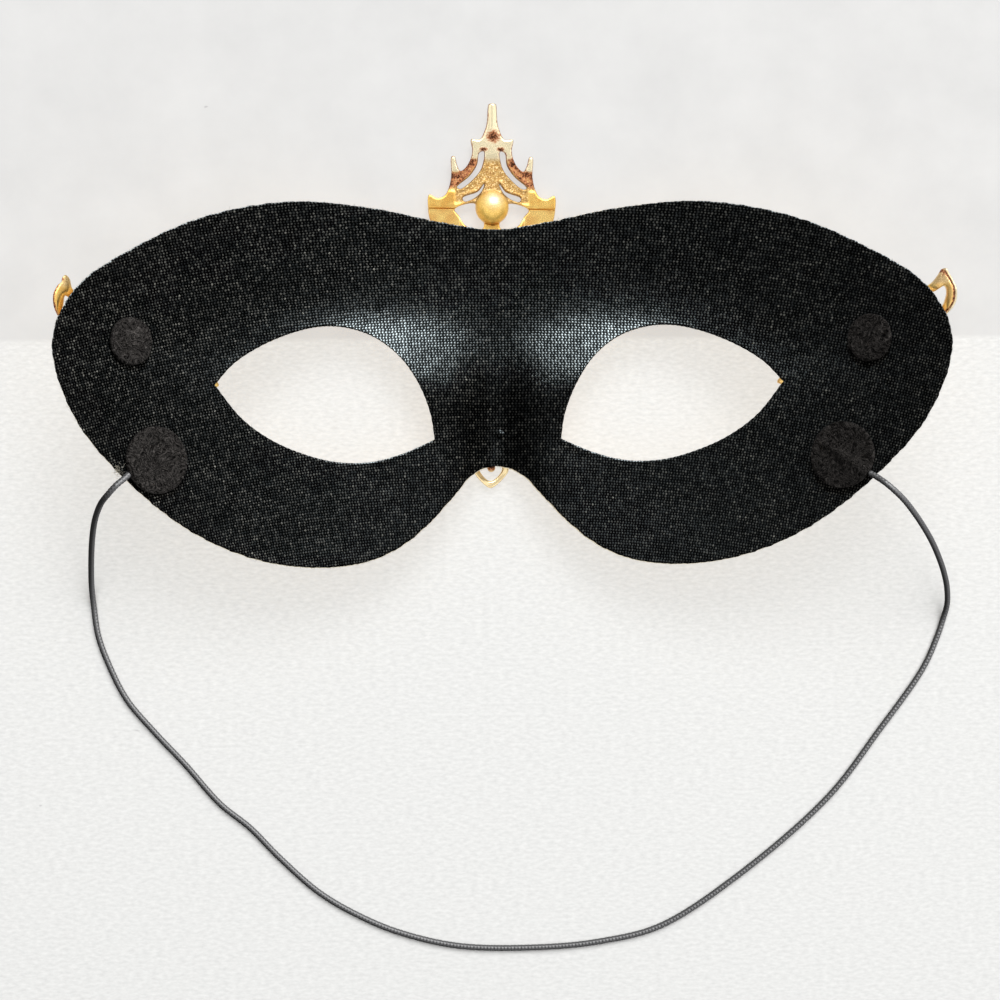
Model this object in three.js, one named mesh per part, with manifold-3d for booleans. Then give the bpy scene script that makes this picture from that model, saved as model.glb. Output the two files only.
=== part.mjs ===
// A moulded half-mask with a fabric-lined inside, gold castings on its front and a thin elastic cord.
// It lies face down. Millimetres: +X runs across the mask, +Y towards the crest, +Z towards the
// hollow inside. The origin is on the surface the mask lies on, under the middle of its outline.
import * as THREE from "three";
import { mergeVertices } from "three/addons/utils/BufferGeometryUtils.js";
import ManifoldModule from "manifold-3d";

// Driving dimensions
const shellThickness = 1.2;
const liningThickness = 0.5;
const gap = 0.3;
const crestTipY = 54.2;
const crestBackZ = 3.4;
const castingThickness = 2.4;
const ball = { radius: 3.9, y: 29.5, z: 3.6 };
const restPad = { x: 12.6, y: 29, radius: 1.8, height: 1.6 };
const smallDisc = { x: 82.2, y: -3.3, radius: 5.3, thickness: 1.1 };
const cordDisc = { x: 76.3, y: -29.4, radius: 7.5, thickness: 1.4 };
const leftCordDiscX = 77;
const discClearance = 0.55;
const cordDiameter = 1.4;
const castingTurn = -0.75;
const sideCastingThickness = 1.8;

// Height of the lined inside above the surface: a bowl that wraps back at the temples, with the
// forehead and the bridge of the nose pressed forward, and a swelling above each eye opening.
const bowl = { bottom: 11.5, wrap: 0.0031, flare: 6.8e-8, vertical: 0.0012, middleY: -10.8 };
const noseRidge = { depth: 7.5, y: -9.3, softness: 4.2, halfWidth: 7 };
const swelling = { height: 4.8, x: 27, y: -7.8, halfWidth: 20, halfHeight: 9.7 };
const forehead = { depth: 7, y: -9.3, softness: 6.5, halfWidth: 60 };
const slopeStep = 0.05;

const bell = (distance, width) => Math.exp(-((distance / width) ** 2));

function insideHeight(x, y) {
  const wrap = bowl.wrap * x ** 2 + bowl.flare * x ** 4 + bowl.vertical * (y - bowl.middleY) ** 2;
  const nose = bell(x, noseRidge.halfWidth) / (1 + Math.exp((y - noseRidge.y) / noseRidge.softness));
  const bothSides = bell(x - swelling.x, swelling.halfWidth) + bell(x + swelling.x, swelling.halfWidth);
  const sockets = bothSides * bell(y - swelling.y, swelling.halfHeight);
  const brow = bell(x, forehead.halfWidth) * 0.5 * (1 + Math.tanh((y - forehead.y) / forehead.softness));
  return bowl.bottom + wrap - noseRidge.depth * nose + swelling.height * sockets - forehead.depth * brow;
}

// How steeply the lined inside climbs along x and along y
const slopesAt = (x, y) => [
  (insideHeight(x + slopeStep, y) - insideHeight(x - slopeStep, y)) / (2 * slopeStep),
  (insideHeight(x, y + slopeStep) - insideHeight(x, y - slopeStep)) / (2 * slopeStep),
];

// Height of a layer that lies a given depth below the lined inside, measured square to it
const layerHeight = (x, y, depth) => insideHeight(x, y) - depth * Math.hypot(1, ...slopesAt(x, y));

const shellBackDepth = liningThickness + gap;
const shellFrontDepth = shellBackDepth + shellThickness;
const castingBackDepth = shellFrontDepth + gap;

// Half outlines, x from the centre line outwards
const rimHalf = [
  [0, -30.9], [5.3, -32.6], [10.4, -38.0], [15.7, -43.7], [22.2, -49.0], [30, -52.5], [41, -53.8],
  [55, -51.8], [69.4, -45.3], [83.5, -33.4], [93.6, -20], [97.8, -4], [93, 7.8], [80, 18],
  [65.2, 25.4], [46.7, 29.5], [27.9, 28.6], [12.5, 25.8], [0, 24.2],
];
const eyeUpper = [
  [14.6, -24.8], [15.5, -19], [18.1, -12.2], [22.3, -5.9], [28, -1.3], [34.2, 0.9], [40.2, 1.2],
  [47, -0.4], [54.5, -3.8], [60.2, -7.8], [64.2, -12.5],
];
const eyeLower = [
  [64.2, -12.5], [58.6, -19.7], [52.5, -24.4], [45.4, -27.7], [37.5, -29.8], [29.5, -29.9],
  [22, -28], [14.6, -24.8],
];
const eyeCentre = [38, -12];
const rimSamples = 720;
const eyeSamples = 160;
const planRays = 52;
const planRings = 5;
const hair = 1e-6;
const onCentreLine = 0.01;

const curvePoints = (points, closed, count) => new THREE.CatmullRomCurve3(
  points.map(([x, y]) => new THREE.Vector3(x, y, 0)), closed, "centripetal",
).getPoints(count).map((p) => [p.x, p.y]);

function rimLoop() {
  const otherHalf = rimHalf.slice(1, -1).reverse().map(([x, y]) => [-x, y]);
  return curvePoints([...rimHalf, ...otherHalf], true, rimSamples);
}

const eyeLoop = () => [eyeUpper, eyeLower].flatMap((points) => curvePoints(points, false, eyeSamples));

// Distance from the eye centre to a loop, in one direction
function reach(loop, angle) {
  const [cx, cy] = eyeCentre;
  const direction = [Math.cos(angle), Math.sin(angle)];
  let best = Infinity;
  for (let i = 0; i < loop.length; i += 1) {
    const [ax, ay] = loop[i];
    const [bx, by] = loop[(i + 1) % loop.length];
    const [ex, ey] = [bx - ax, by - ay];
    const det = direction[0] * -ey + ex * direction[1];
    if (det === 0) continue;
    const along = ((ax - cx) * -ey + ex * (ay - cy)) / det;
    const side = (direction[0] * (ay - cy) - direction[1] * (ax - cx)) / det;
    if (along > 0 && side >= -hair && side <= 1 + hair) best = Math.min(best, along);
  }
  return best;
}

// Flat plan of the mask as points and triangles: rays from each eye's edge to the rim or centre line
function maskPlan() {
  const rim = rimLoop().filter(([x]) => x >= -hair);
  const eye = eyeLoop();
  const corners = [eyeLower[0], eyeUpper[0], rimHalf[0], rimHalf[rimHalf.length - 1]];
  const cornerAngles = corners.map(([x, y]) => Math.atan2(y - eyeCentre[1], x - eyeCentre[0]));
  const turn = 2 * Math.PI / planRays;
  const nearCorner = (angle) => cornerAngles.some((a) => Math.abs(a - angle) < 0.5 * turn);
  const even = Array.from({ length: planRays }, (_, i) => -Math.PI + (i + 0.5) * turn);
  const angles = [...even.filter((a) => !nearCorner(a)), ...cornerAngles].sort((a, b) => a - b);
  const points = [];
  const triangles = [];
  const index = new Map();
  const pointAt = (x, y) => {
    const key = `${x.toFixed(3)},${y.toFixed(3)}`;
    if (!index.has(key)) {
      index.set(key, points.length);
      points.push([x, y]);
    }
    return index.get(key);
  };
  for (const side of [1, -1]) {
    const rays = angles.map((angle) => {
      const [inner, outer] = [reach(eye, angle), reach(rim, angle)];
      return Array.from({ length: planRings + 1 }, (_, ring) => {
        const radius = inner + (outer - inner) * (ring / planRings);
        const x = eyeCentre[0] + radius * Math.cos(angle);
        return pointAt(x < onCentreLine ? 0 : side * x, eyeCentre[1] + radius * Math.sin(angle));
      });
    });
    rays.forEach((ray, i) => {
      const next = rays[(i + 1) % rays.length];
      for (let ring = 0; ring < planRings; ring += 1) {
        const quad = [ray[ring], ray[ring + 1], next[ring + 1], next[ring]];
        const around = side > 0 ? quad : quad.reverse();
        triangles.push([around[0], around[1], around[2]], [around[0], around[2], around[3]]);
      }
    });
  }
  const whole = triangles.filter(([a, b, c]) => a !== b && b !== c && c !== a);
  return { points, triangles: whole };
}

// Even rectangular plan, used as the blank that a casting is cut from
function blankPlan({ lowX, highX, lowY, highY, pitch }) {
  const columns = Math.ceil((highX - lowX) / pitch);
  const rows = Math.ceil((highY - lowY) / pitch);
  const points = [];
  const triangles = [];
  for (let row = 0; row <= rows; row += 1) {
    for (let column = 0; column <= columns; column += 1) {
      points.push([lowX + (highX - lowX) * (column / columns), lowY + (highY - lowY) * (row / rows)]);
    }
  }
  for (let row = 0; row < rows; row += 1) {
    for (let column = 0; column < columns; column += 1) {
      const a = row * (columns + 1) + column;
      const [b, c, d] = [a + 1, a + columns + 2, a + columns + 1];
      triangles.push([a, b, c], [a, c, d]);
    }
  }
  return { points, triangles };
}

// Closed solid between two heights over a flat plan, with an upright wall on every free edge
function thicken({ points, triangles }, lowerZ, upperZ) {
  const positions = [];
  for (const height of [lowerZ, upperZ]) {
    for (const [x, y] of points) positions.push(x, y, height(x, y));
  }
  const count = points.length;
  const faces = triangles.flatMap(([a, b, c]) => [[a, c, b], [a + count, b + count, c + count]]);
  const edges = new Set(triangles.flatMap(([a, b, c]) => [`${a},${b}`, `${b},${c}`, `${c},${a}`]));
  for (const edge of edges) {
    const [a, b] = edge.split(",").map(Number);
    if (!edges.has(`${b},${a}`)) faces.push([a, b, b + count], [a, b + count, a + count]);
  }
  const geometry = new THREE.BufferGeometry();
  geometry.setAttribute("position", new THREE.Float32BufferAttribute(positions, 3));
  geometry.setIndex(faces.flat());
  return geometry;
}

const mergeDistance = 1e-4;
const wasm = await ManifoldModule();
wasm.setup();

function toSolid(geometry) {
  const bare = geometry.clone();
  bare.deleteAttribute("normal");
  bare.deleteAttribute("uv");
  const merged = mergeVertices(bare, mergeDistance);
  return new wasm.Manifold(new wasm.Mesh({
    numProp: 3,
    vertProperties: new Float32Array(merged.attributes.position.array),
    triVerts: new Uint32Array(merged.index.array),
  }));
}

function toGeometry(solid) {
  const mesh = solid.getMesh();
  const geometry = new THREE.BufferGeometry();
  geometry.setAttribute("position", new THREE.BufferAttribute(new Float32Array(mesh.vertProperties), 3));
  geometry.setIndex(new THREE.BufferAttribute(new Uint32Array(mesh.triVerts), 1));
  return geometry;
}

// Upright prism over a flat outline with openings, tall enough to cut any casting
const prismSpan = { from: -5, to: 75 };

function prism(outline, openings) {
  const flatPoints = (points) => points.map(([x, y]) => new THREE.Vector2(x, y));
  const edge = flatPoints(outline);
  const shape = new THREE.Shape(THREE.ShapeUtils.isClockWise(edge) ? edge.reverse() : edge);
  shape.holes = openings.map((points) => new THREE.Path(flatPoints(points)));
  const depth = prismSpan.to - prismSpan.from;
  const block = new THREE.ExtrudeGeometry(shape, { depth, bevelEnabled: false });
  return toSolid(block.translate(0, 0, prismSpan.from));
}

const mirrorOutline = (half) => [...half, ...half.slice().reverse().map(([x, y]) => [-x, y])];
const mirrorPoints = (points) => points.map(([x, y]) => [-x, y]);

// Centre casting: right half of its outline from the spire down to the drop loop's point
const castingHalf = [
  [1.1, crestTipY], [1.4, 49.4], [1.8, 47.6], [2.9, 45.5], [4.9, 45.5], [4.6, 43], [5, 41], [6.2, 38.9],
  [7.4, 38.1], [8.2, 39.5], [8.8, 41.5], [9.5, 41.4], [9.5, 37], [10.2, 33.8], [11.2, 32.2],
  [12.8, 31.7], [14.7, 32.5], [14.9, 29], [14.2, 25.8], [12.2, 21.6], [8.6, 18.2], [6.4, 13.6],
  [4.2, 7.2], [2.5, 0.2], [3, -7], [4.6, -13.2], [3.6, -19.6], [1.9, -24.6], [2.2, -28.2],
  [4.1, -30.8], [4, -32.4], [0.5, -35.9],
];
const upperSlot = [
  [1.9, 42.8], [3, 42.4], [3.5, 39.6], [5.2, 37], [8.2, 34.3], [7.4, 33.9], [4.4, 36.2], [2.4, 39],
];
const lowerSlot = [[1.7, 35.4], [3.2, 33.4], [6.8, 31.9], [6.5, 31], [4.4, 31.6], [2.4, 33.4]];
const besideBall = [
  [4.1, 30.6], [8.7, 29.1], [7.7, 27.7], [6, 25.2], [2.2, 24.6], [1.8, 26.5], [2.6, 28.6],
];
const browOpening = [[2.2, 22.8], [8.6, 22.6], [5.2, 18.4], [3, 13.4], [1.4, 12.4]];
const loopOpening = [[2.7, -31.6], [0, -34.4], [-2.7, -31.6], [-1.4, -29.6], [1.4, -29.6]];
const stem = { startY: 20, slope: 0.45 };
const crestBlank = { lowX: -16, highX: 16, lowY: -37, highY: 56, pitch: 3.3 };
const ballSides = 16;
const padSides = 12;
const table = { width: 40, length: 120, thickness: 10 };

// The casting is glued on by hand and leans a little about the tip of its spire
function lean([x, y]) {
  const angle = THREE.MathUtils.degToRad(castingTurn);
  const [cos, sin] = [Math.cos(angle), Math.sin(angle)];
  const down = y - crestTipY;
  return [x * cos - down * sin, crestTipY + x * sin + down * cos];
}

// The crest is level, and below the brow the stem climbs until it meets the front of the shell
function centreOrnament() {
  const openings = [upperSlot, lowerSlot, besideBall, browOpening];
  const allOpenings = [...openings, ...openings.map(mirrorPoints), loopOpening];
  const cutter = prism(mirrorOutline(castingHalf).map(lean), allOpenings.map((points) => points.map(lean)));
  const backZ = (x, y) => Math.min(
    layerHeight(x, y, castingBackDepth),
    crestBackZ + stem.slope * Math.max(0, stem.startY - y),
  );
  const frontZ = (x, y) => Math.max(0, backZ(x, y) - castingThickness);
  const blank = toSolid(thicken(blankPlan(crestBlank), frontZ, backZ));
  const sphere = new THREE.SphereGeometry(ball.radius, ballSides, ballSides / 2);
  const round = toSolid(sphere.translate(...lean([0, ball.y]), ball.z));
  const pads = [-restPad.x, restPad.x].map((x) => toSolid(
    new THREE.CylinderGeometry(restPad.radius, restPad.radius, restPad.height, padSides)
      .rotateX(Math.PI / 2).translate(...lean([x, restPad.y]), restPad.height / 2),
  ));
  const below = new THREE.BoxGeometry(table.width, table.length, table.thickness);
  const solid = pads.reduce((whole, pad) => whole.add(pad), blank.intersect(cutter).add(round));
  return toGeometry(solid.subtract(toSolid(below.translate(0, 0, -table.thickness / 2))));
}

// Side castings, from the eye corner to the open leaf loop past the rim, x away from the centre line.
// Their stems are alike, and each loop was bent to fit by hand.
const sideStemLower = [
  [63.4, -12.5], [66.6, -13.2], [71.5, -13], [75.4, -9.6], [78.6, -7.6], [82.6, -7.3], [86, -4.8],
  [89.6, -3.2], [94, -1.2],
];
const sideStemUpper = [[86.6, 4.2], [82.4, 2.2], [78.3, 0.6], [76.8, -2.9], [72.4, -5.2], [67.4, -8.6]];
const leafLoop = {
  right: [
    [97.6, 1.4], [99, 3.4], [99.4, 5.6], [99.2, 7.2], [98.5, 9], [97.8, 10.4], [97.4, 11.3], [96.7, 11.3],
    [95.9, 10], [94.6, 8.3], [92.2, 7], [89.6, 5.7],
  ],
  left: [
    [96.6, 1.2], [97.6, 3.2], [97.9, 5.2], [97.7, 6.8], [96.8, 8.5], [96.2, 9], [96, 10], [95.3, 10.7],
    [94.6, 10], [94, 7.8], [92.2, 6.6], [89.6, 5.5],
  ],
};
const leafOpening = {
  right: [
    [91.6, 2.2], [94.4, 2.4], [96.6, 3.1], [97.2, 4.4], [97.5, 6.4], [97.1, 7.5], [95.4, 6.5], [93.2, 5.3],
  ],
  left: [
    [91.6, 2.2], [94.2, 2.2], [95.8, 3.2], [95.8, 4.8], [95.5, 6.2], [95, 6], [93.2, 5], [91.6, 4],
  ],
};
const sideBlank = { lowX: 62, highX: 101, lowY: -15, highY: 13, pitch: 4 };

function sideOrnament(sideName, side) {
  const backZ = (x, y) => layerHeight(x, y, castingBackDepth);
  const frontZ = (x, y) => layerHeight(x, y, castingBackDepth + sideCastingThickness);
  const toSide = ([x, y]) => [side * x, y];
  const outline = [...sideStemLower, ...leafLoop[sideName], ...sideStemUpper];
  const cutter = prism(outline.map(toSide), [leafOpening[sideName].map(toSide)]);
  const [lowX, highX] = [side * sideBlank.lowX, side * sideBlank.highX].sort((a, b) => a - b);
  const blank = toSolid(thicken(blankPlan({ ...sideBlank, lowX, highX }), frontZ, backZ));
  return toGeometry(blank.intersect(cutter));
}

// Felt disc that lies square to the lined inside, touching it only through its clearance
const discSides = 24;

function feltDisc({ x, y, radius, thickness }, side) {
  const [slopeX, slopeY] = slopesAt(side * x, y);
  const normal = new THREE.Vector3(-slopeX, -slopeY, 1).normalize();
  const mesh = new THREE.Mesh(new THREE.CylinderGeometry(radius, radius, thickness, discSides));
  mesh.position.set(side * x, y, insideHeight(side * x, y));
  mesh.position.addScaledVector(normal, discClearance + thickness / 2);
  mesh.quaternion.setFromUnitVectors(new THREE.Vector3(0, 1, 0), normal);
  return mesh;
}

// The cord's centre line, chosen by hand: off the left disc, over the rim, down and round to the right
const cordRoute = [
  [-82.5, -32.5, 37.6], [-83.4, -33.4, 38.2], [-85.2, -35, 39.2], [-86.9, -36.8, 38.5], [-88.5, -38.5, 36],
  [-89.9, -40.7, 31.8], [-91.1, -43.3, 26.4], [-92.2, -47.0, 19.6], [-93.0, -50.7, 13.2],
  [-93.6, -54.5, 7.4], [-93.9, -58.3, 3.2], [-93.7, -62.1, 1.1], [-92.7, -69.5, 0.8],
  [-90.0, -77.0, 0.8], [-86.2, -84.5, 0.8], [-80.0, -92.0, 0.8], [-73.0, -99.6, 0.8],
  [-64.9, -109.0, 0.8], [-58.0, -114.7, 0.8], [-51.1, -121.9, 0.8], [-41.9, -130.2, 0.8],
  [-32.6, -135.8, 0.8], [-23.3, -139.8, 0.8], [-9.5, -143.2, 0.8], [9.5, -143.9, 0.8],
  [23.7, -142.8, 0.8], [37.9, -139.5, 0.8], [57.0, -127.6, 0.8], [78.4, -109.6, 0.8],
  [90.3, -94.6, 0.8], [101.3, -79.6, 0.8], [104.8, -72.1, 0.8], [106.2, -67.8, 1.2],
  [106.6, -64.4, 3.4], [105.6, -60.4, 7.6], [103.5, -56.5, 13.3], [100.7, -52.6, 19.7],
  [97.5, -48.8, 26.3], [94.1, -45.1, 31.8], [91.4, -42.3, 35.3], [88.8, -39.7, 37.8],
  [86.4, -37.6, 39.1], [84.5, -36, 39.2], [82.9, -34.7, 38.1], [81.2, -33.6, 36.9],
];

const cordSteps = 80;
const cordCurveSegments = 4;

function cordTube() {
  const route = new THREE.CatmullRomCurve3(
    cordRoute.map((p) => new THREE.Vector3(...p)), false, "centripetal",
  );
  const section = new THREE.Shape();
  section.absarc(0, 0, cordDiameter / 2, 0, 2 * Math.PI);
  return new THREE.ExtrudeGeometry(section, {
    steps: cordSteps, curveSegments: cordCurveSegments, extrudePath: route, bevelEnabled: false,
  });
}

const gold = new THREE.MeshStandardMaterial({ color: 0xd9a441, roughness: 0.3, metalness: 1 });
const goldPaint = new THREE.MeshStandardMaterial({ color: 0xb8893c, roughness: 0.45, metalness: 0.6 });
const blackKnit = new THREE.MeshStandardMaterial({ color: 0x0b0b0d, roughness: 0.9, metalness: 0 });
const blackFelt = new THREE.MeshStandardMaterial({ color: 0x242325, roughness: 1, metalness: 0 });
const blackElastic = new THREE.MeshStandardMaterial({ color: 0x1b1b1e, roughness: 0.8, metalness: 0 });

const mask = new THREE.Group();

function addMesh(name, geometry, material) {
  const mesh = new THREE.Mesh(geometry, material);
  mesh.name = name;
  mask.add(mesh);
}

const plan = maskPlan();
const layer = (depth) => (x, y) => layerHeight(x, y, depth);
addMesh("shell", thicken(plan, layer(shellFrontDepth), layer(shellBackDepth)), goldPaint);
addMesh("lining", thicken(plan, layer(liningThickness), layer(0)), blackKnit);
addMesh("centre_ornament", centreOrnament(), gold);
for (const [sideName, side] of [["left", -1], ["right", 1]]) {
  addMesh(`side_ornament_${sideName}`, sideOrnament(sideName, side), gold);
  const overCord = side < 0 ? { ...cordDisc, x: leftCordDiscX } : cordDisc;
  for (const [name, disc] of [["small_felt_disc", smallDisc], ["cord_felt_disc", overCord]]) {
    const mesh = feltDisc(disc, side);
    mesh.name = `${name}_${sideName}`;
    mesh.material = blackFelt;
    mask.add(mesh);
  }
}
addMesh("elastic_cord", cordTube(), blackElastic);

export default mask;
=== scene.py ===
# %% [markdown]
# # A half-mask lying on its face
# The real object is a moulded half-mask: a thin gold-painted shell, a black knitted lining glued into
# its hollow, thin gold castings glued on its front, felt discs over the glued ends of an elastic cord,
# and the cord itself. It lies face down, so the camera looks into the lined hollow.
#
# Every piece below is a surface worked out with numpy in millimetres and handed to Blender in metres.
# The measured frame comes first, and each finished piece stands in for the plain solid of that frame.

# %% Load the measured frame
import math

import bpy
import numpy as np
from mathutils import Matrix, Vector


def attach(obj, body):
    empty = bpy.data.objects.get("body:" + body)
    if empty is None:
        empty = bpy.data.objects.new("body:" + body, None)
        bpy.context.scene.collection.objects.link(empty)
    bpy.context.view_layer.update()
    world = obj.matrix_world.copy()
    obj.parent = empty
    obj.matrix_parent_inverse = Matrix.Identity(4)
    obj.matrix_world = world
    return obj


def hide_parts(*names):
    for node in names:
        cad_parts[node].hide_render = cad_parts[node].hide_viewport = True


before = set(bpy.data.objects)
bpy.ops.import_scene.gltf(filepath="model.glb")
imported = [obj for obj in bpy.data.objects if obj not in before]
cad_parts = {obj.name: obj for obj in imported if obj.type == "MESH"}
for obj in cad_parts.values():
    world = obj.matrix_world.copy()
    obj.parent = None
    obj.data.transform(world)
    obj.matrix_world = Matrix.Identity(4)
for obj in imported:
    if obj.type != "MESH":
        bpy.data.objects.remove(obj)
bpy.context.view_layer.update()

print("pieces in the frame:", ", ".join(sorted(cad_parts)))

# %% [markdown]
# ## From arrays to meshes
# Blender can build a mesh from operators, but a surface that follows a formula is quicker and more
# exact as arrays. One helper turns points and faces into a finished object and makes sure that its
# faces point outwards.

# %% Helpers for closed meshes
MM = 0.001


def signed_volume(points, face_sets):
    """A sixth of the sum, over fans of triangles, of a . (b x c): positive when the faces point out."""
    total = 0.0
    for faces in face_sets:
        first = points[faces[:, 0]]
        for k in range(1, faces.shape[1] - 1):
            total += (first * np.cross(points[faces[:, k]], points[faces[:, k + 1]])).sum()
    return total / 6


def add_mesh(name, points, face_sets, uv=None, values=None):
    """A smooth-shaded object at the origin, from points in millimetres and arrays of vertex numbers.

    uv gives one pair for each point, and values a number for each point under an attribute's name.
    """
    if signed_volume(points, face_sets) < 0:
        face_sets = [faces[:, ::-1] for faces in face_sets]
    mesh = bpy.data.meshes.new(name)
    mesh.from_pydata(points * MM, [], [face for faces in face_sets for face in faces.tolist()])
    mesh.shade_smooth()
    if uv is not None:
        corners = np.empty(len(mesh.loops), int)
        mesh.loops.foreach_get("vertex_index", corners)
        mesh.uv_layers.new(name="pattern").data.foreach_set("uv", uv[corners].ravel())
    for attribute, numbers in (values or {}).items():
        layer = mesh.attributes.new(attribute, "FLOAT", "POINT")
        layer.data.foreach_set("value", np.asarray(numbers, float))
    piece = bpy.data.objects.new(name, mesh)
    bpy.context.scene.collection.objects.link(piece)
    print(f"{name}: {len(points)} points, {sum(len(f) * (f.shape[1] - 2) for f in face_sets)} triangles")
    return piece


def grid_faces(index):
    """Quads between neighbouring rows and columns of one or more grids of vertex numbers."""
    corners = index[..., :-1, :-1], index[..., 1:, :-1], index[..., 1:, 1:], index[..., :-1, 1:]
    return np.stack(corners, -1).reshape(-1, 4)


def weld(points, quads):
    """Points at the same place become one, and a quad that loses a corner becomes a triangle."""
    _, first, number = np.unique(np.round(points, 4), axis=0, return_index=True, return_inverse=True)
    quads = number.reshape(-1)[quads]
    pinched = quads == np.roll(quads, -1, axis=1)
    whole = quads[pinched.sum(axis=1) == 0]
    thirds = [np.delete(quads[pinched[:, k] & (pinched.sum(axis=1) == 1)], k, axis=1) for k in range(4)]
    return first, [whole, np.concatenate(thirds)]


# %% [markdown]
# ## Smooth outlines
# A few chosen points and a curve through them describe an outline better than a long list does. A
# Catmull-Rom curve passes through every point. Its centripetal form never loops between close points.

# %% Curve through chosen points
def smooth_curve(points, closed=False, steps=16):
    """Centripetal Catmull-Rom curve: between two points runs a cubic whose end slopes come from both
    neighbours, and the time for each gap is the square root of its length."""
    p = np.asarray(points, float)
    if closed:
        before, start, end, after = np.roll(p, 1, 0), p, np.roll(p, -1, 0), np.roll(p, -2, 0)
    else:
        p = np.vstack([2 * p[0] - p[1], p, 2 * p[-1] - p[-2]])
        before, start, end, after = p[:-3], p[1:-2], p[2:-1], p[3:]
    time = [np.sqrt(np.linalg.norm(b - a, axis=1, keepdims=True))
            for a, b in ((before, start), (start, end), (end, after))]
    leave = ((start - before) / time[0] - (end - before) / (time[0] + time[1])) * time[1] + end - start
    arrive = ((after - end) / time[2] - (after - start) / (time[1] + time[2])) * time[1] + end - start
    t = np.linspace(0, 1, steps, endpoint=False)[None, :, None]
    curve = ((2 * t**3 - 3 * t**2 + 1) * start[:, None] + (t**3 - 2 * t**2 + t) * leave[:, None]
             + (3 * t**2 - 2 * t**3) * end[:, None] + (t**3 - t**2) * arrive[:, None])
    curve = curve.reshape(-1, p.shape[1])
    return curve if closed else np.vstack([curve, p[-2]])


def arc_length(curve):
    """Distance walked along a curve up to each of its points."""
    return np.concatenate([[0], np.cumsum(np.linalg.norm(np.diff(curve, axis=0), axis=1))])


def bell(distance, width):
    """1 at no distance, falling as exp(-(distance/width) squared)."""
    return np.exp(-((distance / width) ** 2))


def ease(value, low, high):
    """0 below low, 1 above high, and a smooth S between them; low may be the larger one."""
    t = np.clip((value - low) / (high - low), 0, 1)
    return t * t * (3 - 2 * t)


def unit(vectors):
    """Each vector divided by its length."""
    return vectors / np.linalg.norm(vectors, axis=-1, keepdims=True)


# %% [markdown]
# ## Camera
# The photograph looks almost straight down, from a little to the left, with a long lens. A camera's
# matrix has its right, its up and its backward direction as columns, which is clearer than angles.

# %% Camera at the photograph's place
CAMERA_PLACE = Vector((-38.56, -39.84, 598.68)) * MM
CAMERA_TARGET = Vector((1.14, -38.8, 0.0)) * MM
CAMERA_ROLL = math.radians(-0.54)
LENS = 91.9

forward = (CAMERA_TARGET - CAMERA_PLACE).normalized()
right = forward.cross(Vector((0, 1, 0))).normalized()
right = Matrix.Rotation(-CAMERA_ROLL, 3, forward) @ right
up = right.cross(forward)
camera = bpy.data.objects.new("camera", bpy.data.cameras.new("camera"))
camera.data.lens = LENS
camera.matrix_world = Matrix.Translation(CAMERA_PLACE) @ Matrix((right, up, -forward)).transposed().to_4x4()
bpy.context.scene.collection.objects.link(camera)
bpy.context.scene.camera = camera
print("camera looks along", [round(v, 4) for v in forward], "with right", [round(v, 4) for v in right])

# %% [markdown]
# ## The elastic cord
# A thin round elastic has rubber strands inside a braided black sleeve. It could be a curve with a
# bevel, but the sleeve's fine ribs need rings of their own, so it is a tube: a profile carried along
# the route. The route leaves the left disc, goes over the rim, lies on the table in one wide loop and
# climbs back over the right rim.

# %% The cord's route
CORD_DIAMETER = 1.4
CORD_ROUTE = [
    (-82.5, -32.5, 37.6), (-83.4, -33.4, 38.2), (-85.2, -35.0, 39.2), (-86.9, -36.8, 38.5),
    (-88.5, -38.5, 36.0),
    (-89.9, -40.7, 31.8), (-91.1, -43.3, 26.4), (-92.2, -47.0, 19.6), (-93.0, -50.7, 13.2),
    (-93.6, -54.5, 7.4), (-93.9, -58.3, 3.2), (-93.7, -62.1, 1.1), (-92.7, -69.5, 0.8),
    (-90.0, -77.0, 0.8), (-86.2, -84.5, 0.8), (-80.0, -92.0, 0.8), (-73.0, -99.6, 0.8),
    (-64.9, -109.0, 0.8), (-58.0, -114.7, 0.8), (-51.1, -121.9, 0.8), (-41.9, -130.2, 0.8),
    (-32.6, -135.8, 0.8), (-23.3, -139.8, 0.8), (-9.5, -143.2, 0.8), (9.5, -143.9, 0.8),
    (23.7, -142.8, 0.8), (37.9, -139.5, 0.8), (57.0, -127.6, 0.8), (78.4, -109.6, 0.8),
    (90.3, -94.6, 0.8), (101.3, -79.6, 0.8), (104.8, -72.1, 0.8), (106.2, -67.8, 1.2),
    (106.6, -64.4, 3.4), (105.6, -60.4, 7.6), (103.5, -56.5, 13.3), (100.7, -52.6, 19.7),
    (97.5, -48.8, 26.3), (94.1, -45.1, 31.8), (91.4, -42.3, 35.3), (88.8, -39.7, 37.8),
    (86.4, -37.6, 39.1), (84.5, -36.0, 39.2), (82.9, -34.7, 38.1), (81.2, -33.6, 36.9),
]
cord_line = smooth_curve(CORD_ROUTE, steps=24)
cord_length = arc_length(cord_line)[-1]
print(f"the cord is {cord_length:.1f} mm long")


# %% The cord's ribbed tube
RIB_PITCH = 0.8
RIB_HEIGHT = 0.03
RING_SPACING = 0.16
CORD_SIDES = 16
LOOP_MIDDLE = np.array([0.0, -75.0, 0.0])


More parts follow.
